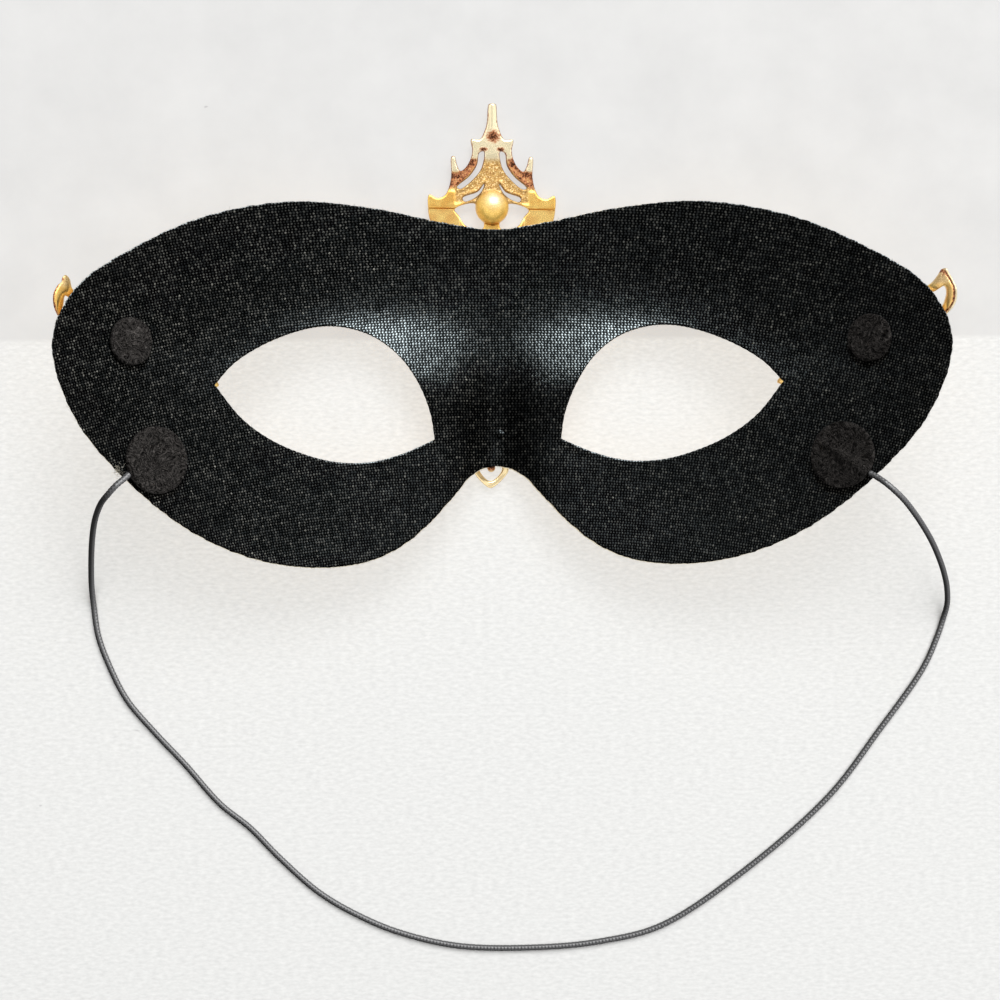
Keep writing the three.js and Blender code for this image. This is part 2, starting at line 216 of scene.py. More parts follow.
def cord_tube():
    """Rings of radius d/2 plus a small cosine rib, square to the route. Each ring starts in the
    direction that points away from the middle of the loop, so that the tube never twists."""
    walked = arc_length(cord_line)
    along = np.linspace(0, cord_length, int(cord_length / RING_SPACING))
    line = np.stack([np.interp(along, walked, cord_line[:, k]) for k in range(3)], 1)
    tangent = unit(np.gradient(line, axis=0))
    away = line - LOOP_MIDDLE
    away = unit(away - (away * tangent).sum(axis=1, keepdims=True) * tangent)
    side = np.cross(tangent, away)
    angle = np.linspace(-math.pi, math.pi, CORD_SIDES, endpoint=False)
    braid = 0.5 * np.cos(2 * angle)[None, :] * np.sin(math.pi * along / RIB_PITCH)[:, None]
    ribs = np.cos(2 * math.pi * along / RIB_PITCH)[:, None] + braid
    radius = (CORD_DIAMETER / 2 - RIB_HEIGHT + RIB_HEIGHT * ribs)[..., None]
    around = np.cos(angle)[None, :, None] * away[:, None] + np.sin(angle)[None, :, None] * side[:, None]
    points = (line[:, None] + radius * around).reshape(-1, 3)
    index = np.arange(len(points)).reshape(len(along), CORD_SIDES)
    index_around = np.hstack([index, index[:, :1]])
    uv = np.stack(np.broadcast_arrays(np.abs(angle)[None, :] / math.pi, along[:, None]), -1)
    caps = np.stack([index[0], index[-1][::-1]])
    return line, add_mesh("cord", points, [grid_faces(index_around), caps], uv.reshape(-1, 2))


cord_rings, cord = cord_tube()
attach(cord, "root")
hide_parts("elastic_cord")

# %% [markdown]
# ## The shape of the hollow
# The inside of the mask is one smooth height over the table: a bowl that wraps back at the temples,
# pressed forward at the forehead and the bridge of the nose, with a swelling above each eye opening.
# Every layer of the mask follows this one formula at its own depth, so no two layers cross.

# %% Height of the hollow and of its layers
BOWL = {"bottom": 11.5, "wrap": 0.0031, "flare": 6.8e-8, "vertical": 0.0012, "middle_y": -10.8}
NOSE = {"depth": 7.5, "y": -9.3, "softness": 4.2, "half_width": 7.0}
SWELLING = {"height": 4.8, "x": 27.0, "y": -7.8, "half_width": 20.0, "half_height": 9.7}
FOREHEAD = {"depth": 7.0, "y": -9.3, "softness": 6.5, "half_width": 60.0}
SLOPE_STEP = 0.05


def hollow(x, y):
    """Bowl, less the pressed nose bridge and forehead, plus a swelling above each eye opening."""
    bowl = (BOWL["bottom"] + BOWL["wrap"] * x**2 + BOWL["flare"] * x**4
            + BOWL["vertical"] * (y - BOWL["middle_y"]) ** 2)
    nose = bell(x, NOSE["half_width"]) / (1 + np.exp((y - NOSE["y"]) / NOSE["softness"]))
    width = SWELLING["half_width"]
    both_sides = bell(x - SWELLING["x"], width) + bell(x + SWELLING["x"], width)
    swelling = both_sides * bell(y - SWELLING["y"], SWELLING["half_height"])
    brow = bell(x, FOREHEAD["half_width"]) * 0.5 * (1 + np.tanh((y - FOREHEAD["y"]) / FOREHEAD["softness"]))
    return bowl - NOSE["depth"] * nose + SWELLING["height"] * swelling - FOREHEAD["depth"] * brow


def slopes(x, y):
    """Slope of the hollow along x and along y, from the heights a small step to either side."""
    along_x = hollow(x + SLOPE_STEP, y) - hollow(x - SLOPE_STEP, y)
    along_y = hollow(x, y + SLOPE_STEP) - hollow(x, y - SLOPE_STEP)
    return along_x / (2 * SLOPE_STEP), along_y / (2 * SLOPE_STEP)


def layer_height(x, y, depth):
    """Height of the layer that lies a depth below the hollow, measured square to it."""
    along_x, along_y = slopes(x, y)
    return hollow(x, y) - depth * np.sqrt(1 + along_x**2 + along_y**2)


def outward(x, y):
    """Unit vector square to the hollow, pointing up out of it."""
    along_x, along_y = slopes(x, y)
    return unit(np.stack([-along_x, -along_y, np.ones_like(along_x)], -1))


print(f"hollow: {hollow(0.0, 24.2):.1f} mm high at the brow, {hollow(97.0, -4.0):.1f} mm at the temple")

# %% [markdown]
# ## The plan of the mask
# Seen from above the mask is a rounded outline with two eye openings. A grid of rays from the middle
# of each eye to the outer edge covers a half without any gap, and it lines up with both edges, where
# the fine detail is. The other half is its mirror image.

# %% Outline and eye openings
RIM_HALF = [
    (0, -30.9), (5.3, -32.6), (10.4, -38.0), (15.7, -43.7), (22.2, -49.0), (30, -52.5), (41, -53.8),
    (55, -51.8), (69.4, -45.3), (83.5, -33.4), (93.6, -20), (97.8, -4), (93, 7.8), (80, 18),
    (65.2, 25.4), (46.7, 29.5), (27.9, 28.6), (12.5, 25.8), (0, 24.2),
]
EYE_UPPER = [
    (14.6, -24.8), (15.5, -19), (18.1, -12.2), (22.3, -5.9), (28, -1.3), (34.2, 0.9), (40.2, 1.2),
    (47, -0.4), (54.5, -3.8), (60.2, -7.8), (64.2, -12.5),
]
EYE_LOWER = [
    (64.2, -12.5), (58.6, -19.7), (52.5, -24.4), (45.4, -27.7), (37.5, -29.8), (29.5, -29.9),
    (22, -28), (14.6, -24.8),
]
EYE_CENTRE = np.array([38.0, -12.0])

mirrored = [(-x, y) for x, y in RIM_HALF[-2:0:-1]]
rim_steps = 40
rim_loop = smooth_curve(RIM_HALF + mirrored, closed=True, steps=rim_steps)
rim_right = rim_loop[: rim_steps * (len(RIM_HALF) - 1) + 1]
centre_line = np.stack([np.zeros(200), np.linspace(RIM_HALF[-1][1], RIM_HALF[0][1], 200)], 1)
half_edge = np.vstack([rim_right, centre_line[1:]])
eye_edge = np.vstack([smooth_curve(EYE_LOWER, steps=30)[:-1], smooth_curve(EYE_UPPER, steps=30)])
print(f"outer edge of one half: {arc_length(half_edge)[-1]:.0f} mm")
print(f"round an eye opening: {arc_length(eye_edge)[-1]:.0f} mm")


# %% Rays from the middle of the eye
RAYS = 400
EDGE_STEPS = np.array([0.0, 0.04, 0.1, 0.18, 0.28, 0.42, 0.62, 0.9, 1.3, 1.8])
MIDDLE_RINGS = 24
CENTRE_FADE = 3.0


def as_polar(edge):
    """Direction, unwrapped so that it only grows, and distance of an edge from the eye's middle."""
    apart = edge - EYE_CENTRE
    return np.unwrap(np.arctan2(apart[:, 1], apart[:, 0])), np.linalg.norm(apart, axis=1)


def around(direction, edge):
    """Distance from the eye's middle to an edge in each direction, and the sine of the angle between
    ray and edge, which turns a length along the ray into a distance square to the edge."""
    angle, distance = as_polar(edge)
    turn = 2 * math.pi
    angle = np.concatenate([angle - turn, angle[1:], angle[1:] + turn])
    distance = np.concatenate([distance, distance[1:], distance[1:]])
    order = np.argsort(angle, kind="stable")
    reach = np.interp(direction, angle[order], distance[order])
    change = np.gradient(reach, direction)
    return reach, reach / np.hypot(reach, change)


def ray_directions():
    """Directions that reach the outer edge at even steps, moved to pass through each sharp corner."""
    angle, _ = as_polar(half_edge)
    walked = arc_length(half_edge)
    direction = np.interp(np.linspace(0, walked[-1], RAYS + 1), walked, angle)
    for corner in (RIM_HALF[-1], EYE_UPPER[0], EYE_UPPER[-1]):
        bearing = math.atan2(corner[1] - EYE_CENTRE[1], corner[0] - EYE_CENTRE[0])
        bearing += 2 * math.pi * np.ceil((direction[0] - bearing) / (2 * math.pi))
        direction[np.abs(direction - bearing).argmin()] = bearing
    return direction


directions = ray_directions()
first_ray, last_ray = np.degrees(directions[[0, -1]])
print(f"{len(directions)} rays, from {first_ray:.0f} to {last_ray:.0f} degrees")


# %% The plan as a grid
def plan_grid(rim_grows, eye_grows, wobble):
    """Points of the right half on rays and rings, with their distance from the nearest free edge.

    The rings crowd towards both edges. rim_grows moves the outer edge out and eye_grows widens the
    eye opening. wobble makes the edges slightly uneven, as a hand-cut edge is. Growth and wobble of
    the outer edge fade near the centre line, where the halves meet.
    """
    inner, inner_sine = around(directions, eye_edge)
    outer, outer_sine = around(directions, half_edge)
    reach_x = EYE_CENTRE[0] + outer * np.cos(directions)
    free = ease(reach_x, 0.0, CENTRE_FADE)
    uneven = np.sin(61 * directions + 1) + 0.8 * np.sin(147 * directions + 2) + 0.7 * np.sin(293 * directions)
    longer = free * (rim_grows + wobble * uneven) / outer_sine
    inner = inner + eye_grows / inner_sine - 0.6 * wobble * np.sin(83 * directions + 0.5)
    length = outer + longer - inner
    steps = EDGE_STEPS[None, :] * np.ones((len(directions), 1))
    middle = np.linspace(0, 1, MIDDLE_RINGS + 2)[None, 1:-1]
    between = EDGE_STEPS[-1] + middle * (length[:, None] - 2 * EDGE_STEPS[-1])
    along = np.hstack([steps, between, length[:, None] - steps[:, ::-1]])
    x = EYE_CENTRE[0] + (inner[:, None] + along) * np.cos(directions)[:, None]
    y = EYE_CENTRE[1] + (inner[:, None] + along) * np.sin(directions)[:, None]
    on_centre = reach_x < 1e-6
    x[on_centre, -1] = 0.0
    from_eye = along * inner_sine[:, None]
    from_rim = (length[:, None] - along) * outer_sine[:, None]
    near_rim = np.where(free[:, None] > 0, from_rim / np.maximum(free[:, None], 1e-9), np.inf)
    return np.maximum(x, 0), y, np.minimum(from_eye, near_rim)


def two_sided(x, y, edge, upper, lower):
    """Both halves of a sheet between two heights, welded along the centre line and the free edges, and
    each point's distance from the nearest free edge."""
    grids = [np.stack([side * x, y, height(side * x, y)], -1)
             for side in (1, -1) for height in (upper, lower)]
    points = np.concatenate([grid.reshape(-1, 3) for grid in grids])
    index = np.arange(len(points)).reshape(4, *x.shape)
    quads = [grid_faces(number)[:, ::order] for number, order in zip(index, (1, -1, -1, 1))]
    first, face_sets = weld(points, np.concatenate(quads))
    return points[first], face_sets, np.tile(edge.ravel(), 4)[first]


def pinched(distance, half_thickness, rounding):
    """Half thickness of a sheet near a free edge: a quarter circle that starts from nothing there."""
    t = np.clip(distance / rounding, 0, 1)
    return half_thickness * np.sqrt(1 - (1 - t) ** 2)


# %% [markdown]
# ## The knitted lining
# The lining is a thin black tricot, stretched into the hollow and glued, with its edge cut along the
# rim. Cloth simulation would only find the shape of the mould again, so the sheet is laid on the mould
# by formula: half a millimetre thick, with a rounded cut edge and a faint unevenness from the glue.

# %% The lining as a mesh
LINING_THICKNESS = 0.5
LINING_ROUNDING = 0.3
LINING_WOBBLE = 0.06
STITCH_WIDTH = 0.757
STITCH_HEIGHT = 0.62
FAN_OUT = 0.003
ROW_ARCH = 0.45
HALF_REACH = 110


def ripples(x, y, size, seed, waves=9):
    """Mean of some plane waves with random directions and phases and about one wavelength."""
    draw = np.random.default_rng(seed)
    heading, phase, pitch = draw.uniform(0, 2 * math.pi, (3, waves))
    wave_number = 2 * math.pi / (size * (0.75 + pitch / (4 * math.pi)))
    total = np.zeros_like(x)
    for turn, shift, number in zip(heading, phase, wave_number):
        total = total + np.cos(number * (x * math.cos(turn) + y * math.sin(turn)) + shift)
    return total / math.sqrt(waves)


def glue_relief(x, y):
    """Faint waves of the glued cloth."""
    return 0.035 * ripples(x, y, 14, 3) + 0.02 * ripples(x, y, 5, 4)


def stitch_places(points):
    """Where each point lies in the knit, in stitches: across, the arc walked round the bowl, which
    fans out towards the brow; along, the height on the mask, which the cloth's rows climb as an arch."""
    walk_x = np.linspace(0, HALF_REACH, 400)
    pace = np.hypot(1, 2 * BOWL["wrap"] * walk_x + 4 * BOWL["flare"] * walk_x**3)
    walked = np.concatenate([[0], np.cumsum(0.5 * (pace[1:] + pace[:-1]) * np.diff(walk_x))])
    x, y = points[:, 0], points[:, 1]
    across = np.sign(x) * np.interp(np.abs(x), walk_x, walked) / (1 + FAN_OUT * y)
    along = y + ROW_ARCH * (BOWL["wrap"] * x**2 + BOWL["flare"] * x**4)
    return np.stack([across / STITCH_WIDTH, along / STITCH_HEIGHT], 1)


lining_x, lining_y, lining_edge = plan_grid(rim_grows=0.0, eye_grows=0.0, wobble=LINING_WOBBLE)
lining_middle = LINING_THICKNESS / 2
lining_half = pinched(lining_edge, lining_middle, LINING_ROUNDING)
away_from_edge = ease(lining_edge, 0, 2)
lining_points, lining_faces, _ = two_sided(
    lining_x, lining_y, lining_edge,
    lambda x, y: layer_height(x, y, lining_middle - lining_half) + away_from_edge * glue_relief(x, y),
    lambda x, y: layer_height(x, y, lining_middle + lining_half),
)
lining = add_mesh("knitted_lining", lining_points, lining_faces, stitch_places(lining_points))
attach(lining, "root")
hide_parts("lining")

# %% [markdown]
# ## The moulded shell
# Behind the cloth is a stiff moulded shell, painted gold on its front. Its cut edge stands a hair
# beyond the cloth and shows the pale material under the paint, which is the thin line round the mask.
# A vacuum-formed edge is never sharp, so a fine bead follows the rim and the eyes on the front.

# %% The shell as a mesh
SHELL_TOP = 0.8
SHELL_THICKNESS = 1.2
SHELL_STANDS_OUT = 0.14
SHELL_EYE_GROWS = 0.35
SHELL_WOBBLE = 0.04
SHELL_ROUNDING = 0.5
BEAD = {"from_edge": 1.7, "height": 0.25, "width": 0.7}

shell_x, shell_y, shell_edge = plan_grid(SHELL_STANDS_OUT, SHELL_EYE_GROWS, SHELL_WOBBLE)
shell_middle = SHELL_TOP + SHELL_THICKNESS / 2
shell_half = pinched(shell_edge, SHELL_THICKNESS / 2, SHELL_ROUNDING)
shell_bead = BEAD["height"] * bell(np.minimum(shell_edge, 50) - BEAD["from_edge"], BEAD["width"])
shell_bead[shell_edge < 0.02] = 0
shell_points, shell_faces, shell_inwards = two_sided(
    shell_x, shell_y, shell_edge,
    lambda x, y: layer_height(x, y, shell_middle - shell_half),
    lambda x, y: layer_height(x, y, shell_middle + shell_half + shell_bead),
)
shell = add_mesh("moulded_shell", shell_points, shell_faces, values={"bare": ease(shell_inwards, 0.35, 0.1)})
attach(shell, "root")
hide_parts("shell")

# %% [markdown]
# ## Frayed threads at the cut edge
# Where the cloth was cut, single fibres stand out beyond the rim. Hair particles are lost in an
# export, so each fibre is a tiny tube of its own with three sides, and all of them are one mesh.

# %% Fibres as tiny tubes
FIBRE_RINGS = 5
FIBRE_SIDES = 3
RIM_FIBRES = 1300
EYE_FIBRES = 120
FIBRE_THICKNESS = 0.07
TUFT = {"x": -84.6, "y": -31.4, "count": 70, "thickness": 0.12}


def fibre_mesh(roots, headings, lengths, droops, thickness, shade):
    """Tubes along root + heading t L + droop t squared, thinning towards the tip."""
    t = np.linspace(0, 1, FIBRE_RINGS)[None, :, None]
    line = roots[:, None] + headings[:, None] * t * lengths[:, None, None] + droops[:, None] * t**2
    side = unit(np.cross(headings, np.array([0.31, 0.2, 0.93])))
    other = np.cross(headings, side)
    turn = np.arange(FIBRE_SIDES) * 2 * math.pi / FIBRE_SIDES
    spoke = np.cos(turn)[None, :, None] * side[:, None] + np.sin(turn)[None, :, None] * other[:, None]
    radius = 0.5 * thickness[:, None, None] * (1 - 0.6 * t)
    points = line[:, :, None] + radius[..., None] * spoke[:, None]
    index = np.arange(points.size // 3).reshape(len(roots), FIBRE_RINGS, FIBRE_SIDES)
    ring = np.concatenate([index, index[:, :, :1]], 2)
    quads = grid_faces(ring.swapaxes(1, 2))
    caps = np.concatenate([index[:, 0, ::-1], index[:, -1]])
    shades = np.repeat(shade, FIBRE_RINGS * FIBRE_SIDES)
    return add_mesh("frayed_threads", points.reshape(-1, 3), [quads, caps], values={"shade": shades})


def edge_frames(loop, count, draw):
    """Random places on a closed loop, with the direction along it and the one out of it."""
    closed = np.vstack([loop, loop[:1]])
    walked = arc_length(closed)
    place = draw.uniform(0, walked[-1], count)
    x, y = (np.interp(place, walked, closed[:, k]) for k in range(2))
    ahead = np.stack([np.interp(place + 0.3, walked, closed[:, k], period=walked[-1]) for k in range(2)], 1)
    along = unit(ahead - np.stack([x, y], 1) + 1e-9)
    return x, y, along, np.stack([along[:, 1], -along[:, 0]], 1)


def edge_fibres():
    """Short fibres all round the rim and both eyes, and a tuft of pale ones where the cord comes out."""
    draw = np.random.default_rng(21)
    right_eye = eye_edge[:-1]
    loops = [(rim_loop, RIM_FIBRES, 1), (right_eye, EYE_FIBRES, 1), (right_eye * [-1, 1], EYE_FIBRES, -1)]
    roots, headings, lengths = [], [], []
    for loop, count, turned in loops:
        x, y, along, out = edge_frames(loop, count, draw)
        lift = draw.normal(0.15, 0.45, count)
        lean = draw.normal(0, 1.0, count)
        sideways = lean[:, None] * along + turned * out
        headings.append(unit(np.column_stack([sideways, lift])))
        roots.append(np.column_stack([x, y, layer_height(x, y, 0.25)]) - 0.12 * headings[-1])
        lengths.append(0.18 + np.minimum(draw.gamma(1.5, 0.12, count), 0.7))
    roots, headings, lengths = (np.concatenate(part) for part in (roots, headings, lengths))
    shade = draw.uniform(0.25, 1, len(roots))
    tuft = draw.normal(0, 1, (TUFT["count"], 3))
    place = np.array([TUFT["x"], TUFT["y"], 0]) + [0.5, 0.8, 0.0] * tuft
    place[:, 2] = layer_height(place[:, 0], place[:, 1], 0.1)
    roots = np.vstack([roots, place])
    headings = np.vstack([headings, unit(draw.normal(0, 1, tuft.shape) + [-0.8, 0.1, 0.9])])
    lengths = np.concatenate([lengths, draw.uniform(0.4, 1.3, len(tuft))])
    shade = np.concatenate([shade, np.ones(len(tuft))])
    droops = draw.normal(0, 0.16, roots.shape) * lengths[:, None]
    in_tuft = np.arange(len(roots)) >= len(roots) - len(tuft)
    thickness = np.where(in_tuft, TUFT["thickness"], FIBRE_THICKNESS)
    return fibre_mesh(roots, headings, lengths, droops, thickness, shade)


threads = edge_fibres()
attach(threads, "root")


def loop_area(loop):
    """Half the sum, round a closed loop, of x times the next y less y times the next x."""
    following = np.roll(loop, -1, 0)
    return 0.5 * abs(np.sum(loop[:, 0] * following[:, 1] - loop[:, 1] * following[:, 0]))


cloth_area = loop_area(rim_loop) - 2 * loop_area(eye_edge[:-1])
print(f"plan area of the cloth {cloth_area / 100:.0f} square centimetres")

# %% [markdown]
# ## Felt discs
# Four discs of black felt are glued on the lining: two small ones over the pins of the side castings
# and two larger ones over the ends of the cord. A disc is a flat profile spun round its middle, laid
# on the curved lining, with a soft rounded edge and the uneven surface of felt. The large one on the
# right rises in a low ridge over the cord.

# %% Discs laid on the lining
SMALL_DISC = {"x": 82.2, "y": -3.3, "radius": 5.3, "thickness": 1.05, "dome": 0.1}
CORD_DISC = {"x": 76.3, "y": -29.4, "radius": 7.5, "thickness": 1.15, "dome": 0.12}
LEFT_CORD_DISC_X = 77.0
DISC_CLEARANCE = 0.06
DISC_EDGE = 0.5
RIDGE = {"height": 0.75, "half_width": 1.0, "starts": -6.0, "full": -3.5}


def felt_disc(name, disc, side, seed, cord_end=None):
    """A profile from the middle of the underside, round the edge, to the middle of the top, turned
    about the disc's axis. Each point is lifted square to the lining from the lining's own height."""
    x0, y0 = side * disc["x"], disc["y"]
    axis = outward(np.array(x0), np.array(y0))
    across = unit(np.cross([0.0, 1.0, 0.0], axis))
    along = np.cross(axis, across)
    flat = disc["radius"] - DISC_EDGE
    under = np.stack([np.linspace(0, flat, 6), np.zeros(6)], 1)
    bend = np.linspace(-0.5 * math.pi, 0.5 * math.pi, 14)[1:-1]
    round_edge = np.stack([flat + DISC_EDGE * np.cos(bend), 0.5 + 0.5 * np.sin(bend)], 1)
    top = np.stack([np.linspace(flat, 0, 44), np.ones(44)], 1)
    radius, level = np.vstack([under, round_edge, top]).T
    angle = np.linspace(0, 2 * math.pi, 140, endpoint=False)
    uneven_edge = 1 + 0.006 * ripples(5 * np.cos(angle), 5 * np.sin(angle), 4, seed)
    reach = radius[:, None] * uneven_edge[None, :]
    plane = reach[..., None] * (np.cos(angle)[:, None] * across + np.sin(angle)[:, None] * along)
    x, y = x0 + plane[..., 0], y0 + plane[..., 1]
    base = np.stack([x, y, hollow(x, y)], -1)
    spread = reach / disc["radius"]
    felt = 0.05 * ripples(x, y, 2.6, seed + 1) + 0.03 * ripples(x, y, 1.1, seed + 2)
    lift = level[:, None] * (disc["thickness"] - disc["dome"] * spread**4 + felt)
    if cord_end is not None:
        heading = unit(np.array(cord_end[:2]) - [x0, y0])
        off_line = (x - x0) * heading[1] - (y - y0) * heading[0]
        over_cord = ease((x - x0) * heading[0] + (y - y0) * heading[1], RIDGE["starts"], RIDGE["full"])
        ridge = RIDGE["height"] * bell(off_line, RIDGE["half_width"]) * over_cord
        lift = lift + ridge * (0.35 + 0.65 * level[:, None])
    points = (base + (DISC_CLEARANCE + lift)[..., None] * axis).reshape(-1, 3)
    index = np.arange(len(points)).reshape(lift.shape)
    first, face_sets = weld(points, grid_faces(np.hstack([index, index[:, :1]])))
    piece = add_mesh(name, points[first], face_sets)
    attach(piece, "root")
    return piece


discs = {}
for side_name, side in (("left", -1), ("right", 1)):
    end = None if side < 0 else CORD_ROUTE[-1]
    over_cord = {**CORD_DISC, "x": LEFT_CORD_DISC_X} if side < 0 else CORD_DISC
    discs[f"small_{side_name}"] = felt_disc(f"small_disc_{side_name}", SMALL_DISC, side, 30 + side)
    discs[f"cord_{side_name}"] = felt_disc(f"cord_disc_{side_name}", over_cord, side, 40 + side, end)
    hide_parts(f"small_felt_disc_{side_name}")
    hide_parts(f"cord_felt_disc_{side_name}")

# %% [markdown]
# ## Castings from a distance field
# The gold ornaments are thin castings with rounded edges, slots and a ball. Bevelled outlines would
# leave hard seams where shapes meet. A distance field has none: it says at every point how far away
# the surface is, and fields are joined by taking the smaller of two. The surface where the distance
# is nothing then becomes a mesh of small quads.

# %% Distance in plan
def loop_distance(x, y, loop):
    """Distance to a closed loop of straight steps, negative inside, where a line to the side crosses
    the loop an odd number of times."""
    start, step = loop, np.roll(loop, -1, 0) - loop
    flat = np.column_stack([x.ravel(), y.ravel()])
    parts = []
    for some in np.array_split(flat, max(1, len(flat) * len(loop) // 3_000_000)):
        apart = some[:, None] - start[None]
        t = np.clip((apart * step).sum(-1) / (step**2).sum(-1), 0, 1)
        near = np.sqrt(((apart - t[..., None] * step) ** 2).sum(-1).min(axis=1))
        above = apart[..., 1] >= 0
        crossed = above != np.roll(above, -1, axis=1)
        rise = np.where(np.abs(step[:, 1]) < 1e-9, 1e-9, step[:, 1])
        beyond = apart[..., 0] < step[:, 0] * apart[..., 1] / rise
        parts.append(np.where((crossed & beyond).sum(axis=1) % 2 == 1, -near, near))
    return np.concatenate(parts).reshape(x.shape)


def plan_distance(x, y, outline, openings):
    """Distance to a plate's outline with its openings taken away."""
    distance = loop_distance(x, y, outline)
    for opening in openings:
        distance = np.maximum(distance, -loop_distance(x, y, opening))
    return distance


def speckle(shape, passes, seed):
    """Random grain: one random number for each grid point, blurred, and scaled to a spread of one."""
    grain = np.random.default_rng(seed).normal(size=shape)
    for _ in range(passes):
        grain = 0.5 * grain + 0.25 * (np.roll(grain, 1, 0) + np.roll(grain, -1, 0))
        grain = 0.5 * grain + 0.25 * (np.roll(grain, 1, 1) + np.roll(grain, -1, 1))
    return grain / grain.std()


# %% From a field to quads
def surface_nets(field, origin, pitch):
    """One vertex in each grid cell that the surface crosses, at the mean of the crossings on its
    twelve edges, and one quad round each grid edge whose ends lie on different sides."""
    inside = field < 0
    size = np.array(field.shape) - 1
    corners = np.array([(i, j, k) for i in (0, 1) for j in (0, 1) for k in (0, 1)])
    held = sum(inside[i:i + size[0], j:j + size[1], k:k + size[2]].astype(np.int8) for i, j, k in corners)
    cells = np.argwhere((held > 0) & (held < 8))
    number = np.full(size, -1)
    number[tuple(cells.T)] = np.arange(len(cells))
    value = np.stack([field[tuple((cells + corner).T)] for corner in corners], 1)
    total = np.zeros((len(cells), 3))
    crossings = np.zeros((len(cells), 1))
    for a in range(8):
        for b in range(a + 1, 8):
            if np.abs(corners[a] - corners[b]).sum() != 1:
                continue
            crossed = (value[:, a] < 0) != (value[:, b] < 0)
            t = value[crossed, a] / (value[crossed, a] - value[crossed, b])
            total[crossed] += corners[a] + t[:, None] * (corners[b] - corners[a])
            crossings[crossed] += 1
    points = np.asarray(origin) + pitch * (cells + total / crossings)
    return points, np.concatenate([edge_quads(inside, number, axis) for axis in range(3)])


def edge_quads(inside, number, axis):
    """Quads round the grid edges along one axis, wound so that they face from inside to outside."""
    second, third = (axis + 1) % 3, (axis + 2) % 3
    low, high = [slice(1, -1)] * 3, [slice(1, -1)] * 3
    low[axis], high[axis] = slice(0, -1), slice(1, None)
    first_in, last_in = inside[tuple(low)], inside[tuple(high)]
    start = np.ones(3, int)
    start[axis] = 0
    quads = []
    for solid_first in (True, False):
        at = np.argwhere((first_in != last_in) & (first_in == solid_first)) + start
        ring = []
        for back_second, back_third in ((1, 1), (0, 1), (0, 0), (1, 0)):
            cell = at.copy()
            cell[:, second] -= back_second
            cell[:, third] -= back_third
            ring.append(number[tuple(cell.T)])
        quads.append(np.stack(ring if solid_first else ring[::-1], 1))
    return np.concatenate(quads)


def join(first, second, blend):
    """The smaller of two distances, with a fillet about as wide as blend where they are alike."""
    meet = np.maximum(blend - np.abs(first - second), 0) / blend
    return np.minimum(first, second) - 0.25 * blend * meet**2


def plate_field(plan, back, front, z, pitch, rounding):
    """Rounded plate: how far outside the outline and how far above or below the plate's middle height
    a point lies, joined as the two legs of a right angle where both are outside."""
    middle, half = 0.5 * (back + front), 0.5 * (back - front)
    tilt = 1 / np.sqrt(1 + np.gradient(middle, pitch, axis=0) ** 2 + np.gradient(middle, pitch, axis=1) ** 2)
    across = plan[..., None] + rounding
    through = (np.abs(z - middle[..., None]) - half[..., None]) * tilt[..., None] + rounding
    outside = np.hypot(np.maximum(across, 0), np.maximum(through, 0))
    return outside + np.minimum(np.maximum(across, through), 0) - rounding


# %% [markdown]
# ## The centre casting
# Its crest stands above the brow: a spire, two spikes, two horns, slots like a lyre's and a ball. A
# stem runs down the front of the mask, hidden from above, to a small drop loop below the nose. The
# back of a cheap casting is left rough between smooth raised plates, which the relief here follows.

# %% Outline of the centre casting
CREST_TIP_Y = 54.2
CREST_BACK_Z = 3.4
STEM_START_Y = 20
STEM_SLOPE = 0.45
CASTING_THICKNESS = 2.4
CASTING_DEPTH = 2.3
THINNEST_FRONT_Z = 0.35
CASTING_TURN = math.radians(-0.75)
CASTING_HALF = [
    (0.4, 53.9), (0.85, 53.75), (1.0, 53.2), (1.25, 49.4), (1.75, 47.6),
    (2.9, 45.5), (4.9, 45.5), (4.6, 43), (5, 41), (6.2, 38.9),
    (7.4, 38.1), (8.2, 39.5), (8.8, 41.5), (9.5, 41.4), (9.5, 37), (10.2, 33.8), (11.2, 32.2),
    (12.8, 31.7), (14.7, 32.5), (14.9, 29), (14.2, 25.8), (12.2, 21.6), (8.6, 18.2), (6.4, 13.6),
    (4.2, 7.2), (2.5, 0.2), (3, -7), (4.6, -13.2), (3.6, -19.6), (1.9, -24.6), (2.2, -28.2),
    (4.1, -30.8), (4, -32.4), (0.5, -35.9),
]
UPPER_SLOT = [
    (1.9, 42.8), (3, 42.4), (3.5, 39.6), (5.2, 37), (8.2, 34.3), (7.4, 33.9), (4.4, 36.2), (2.4, 39),
]
LOWER_SLOT = [(1.7, 35.4), (3.2, 33.4), (6.8, 31.9), (6.5, 31), (4.4, 31.6), (2.4, 33.4)]
BESIDE_BALL = [(4.1, 30.6), (8.7, 29.1), (7.7, 27.7), (6, 25.2), (2.2, 24.6), (1.8, 26.5), (2.6, 28.6)]
BROW_OPENING = [(2.2, 22.8), (8.6, 22.6), (5.2, 18.4), (3, 13.4), (1.4, 12.4)]
LOOP_OPENING = [(2.7, -31.6), (0, -34.4), (-2.7, -31.6), (-1.4, -29.6), (1.4, -29.6)]


def turned(x, y, angle):
    """Places turned by an angle about the tip of the spire."""
    down = y - CREST_TIP_Y
    return (x * math.cos(angle) - down * math.sin(angle),
            CREST_TIP_Y + x * math.sin(angle) + down * math.cos(angle))


def lean(points):
    """Turned a little, as the casting was glued on by hand."""
    return np.stack(turned(*np.asarray(points, float).T, CASTING_TURN), 1)


def upright(x, y):
    """The same turn undone, so that the casting's left and right can be described alike."""
    return turned(x, y, -CASTING_TURN)


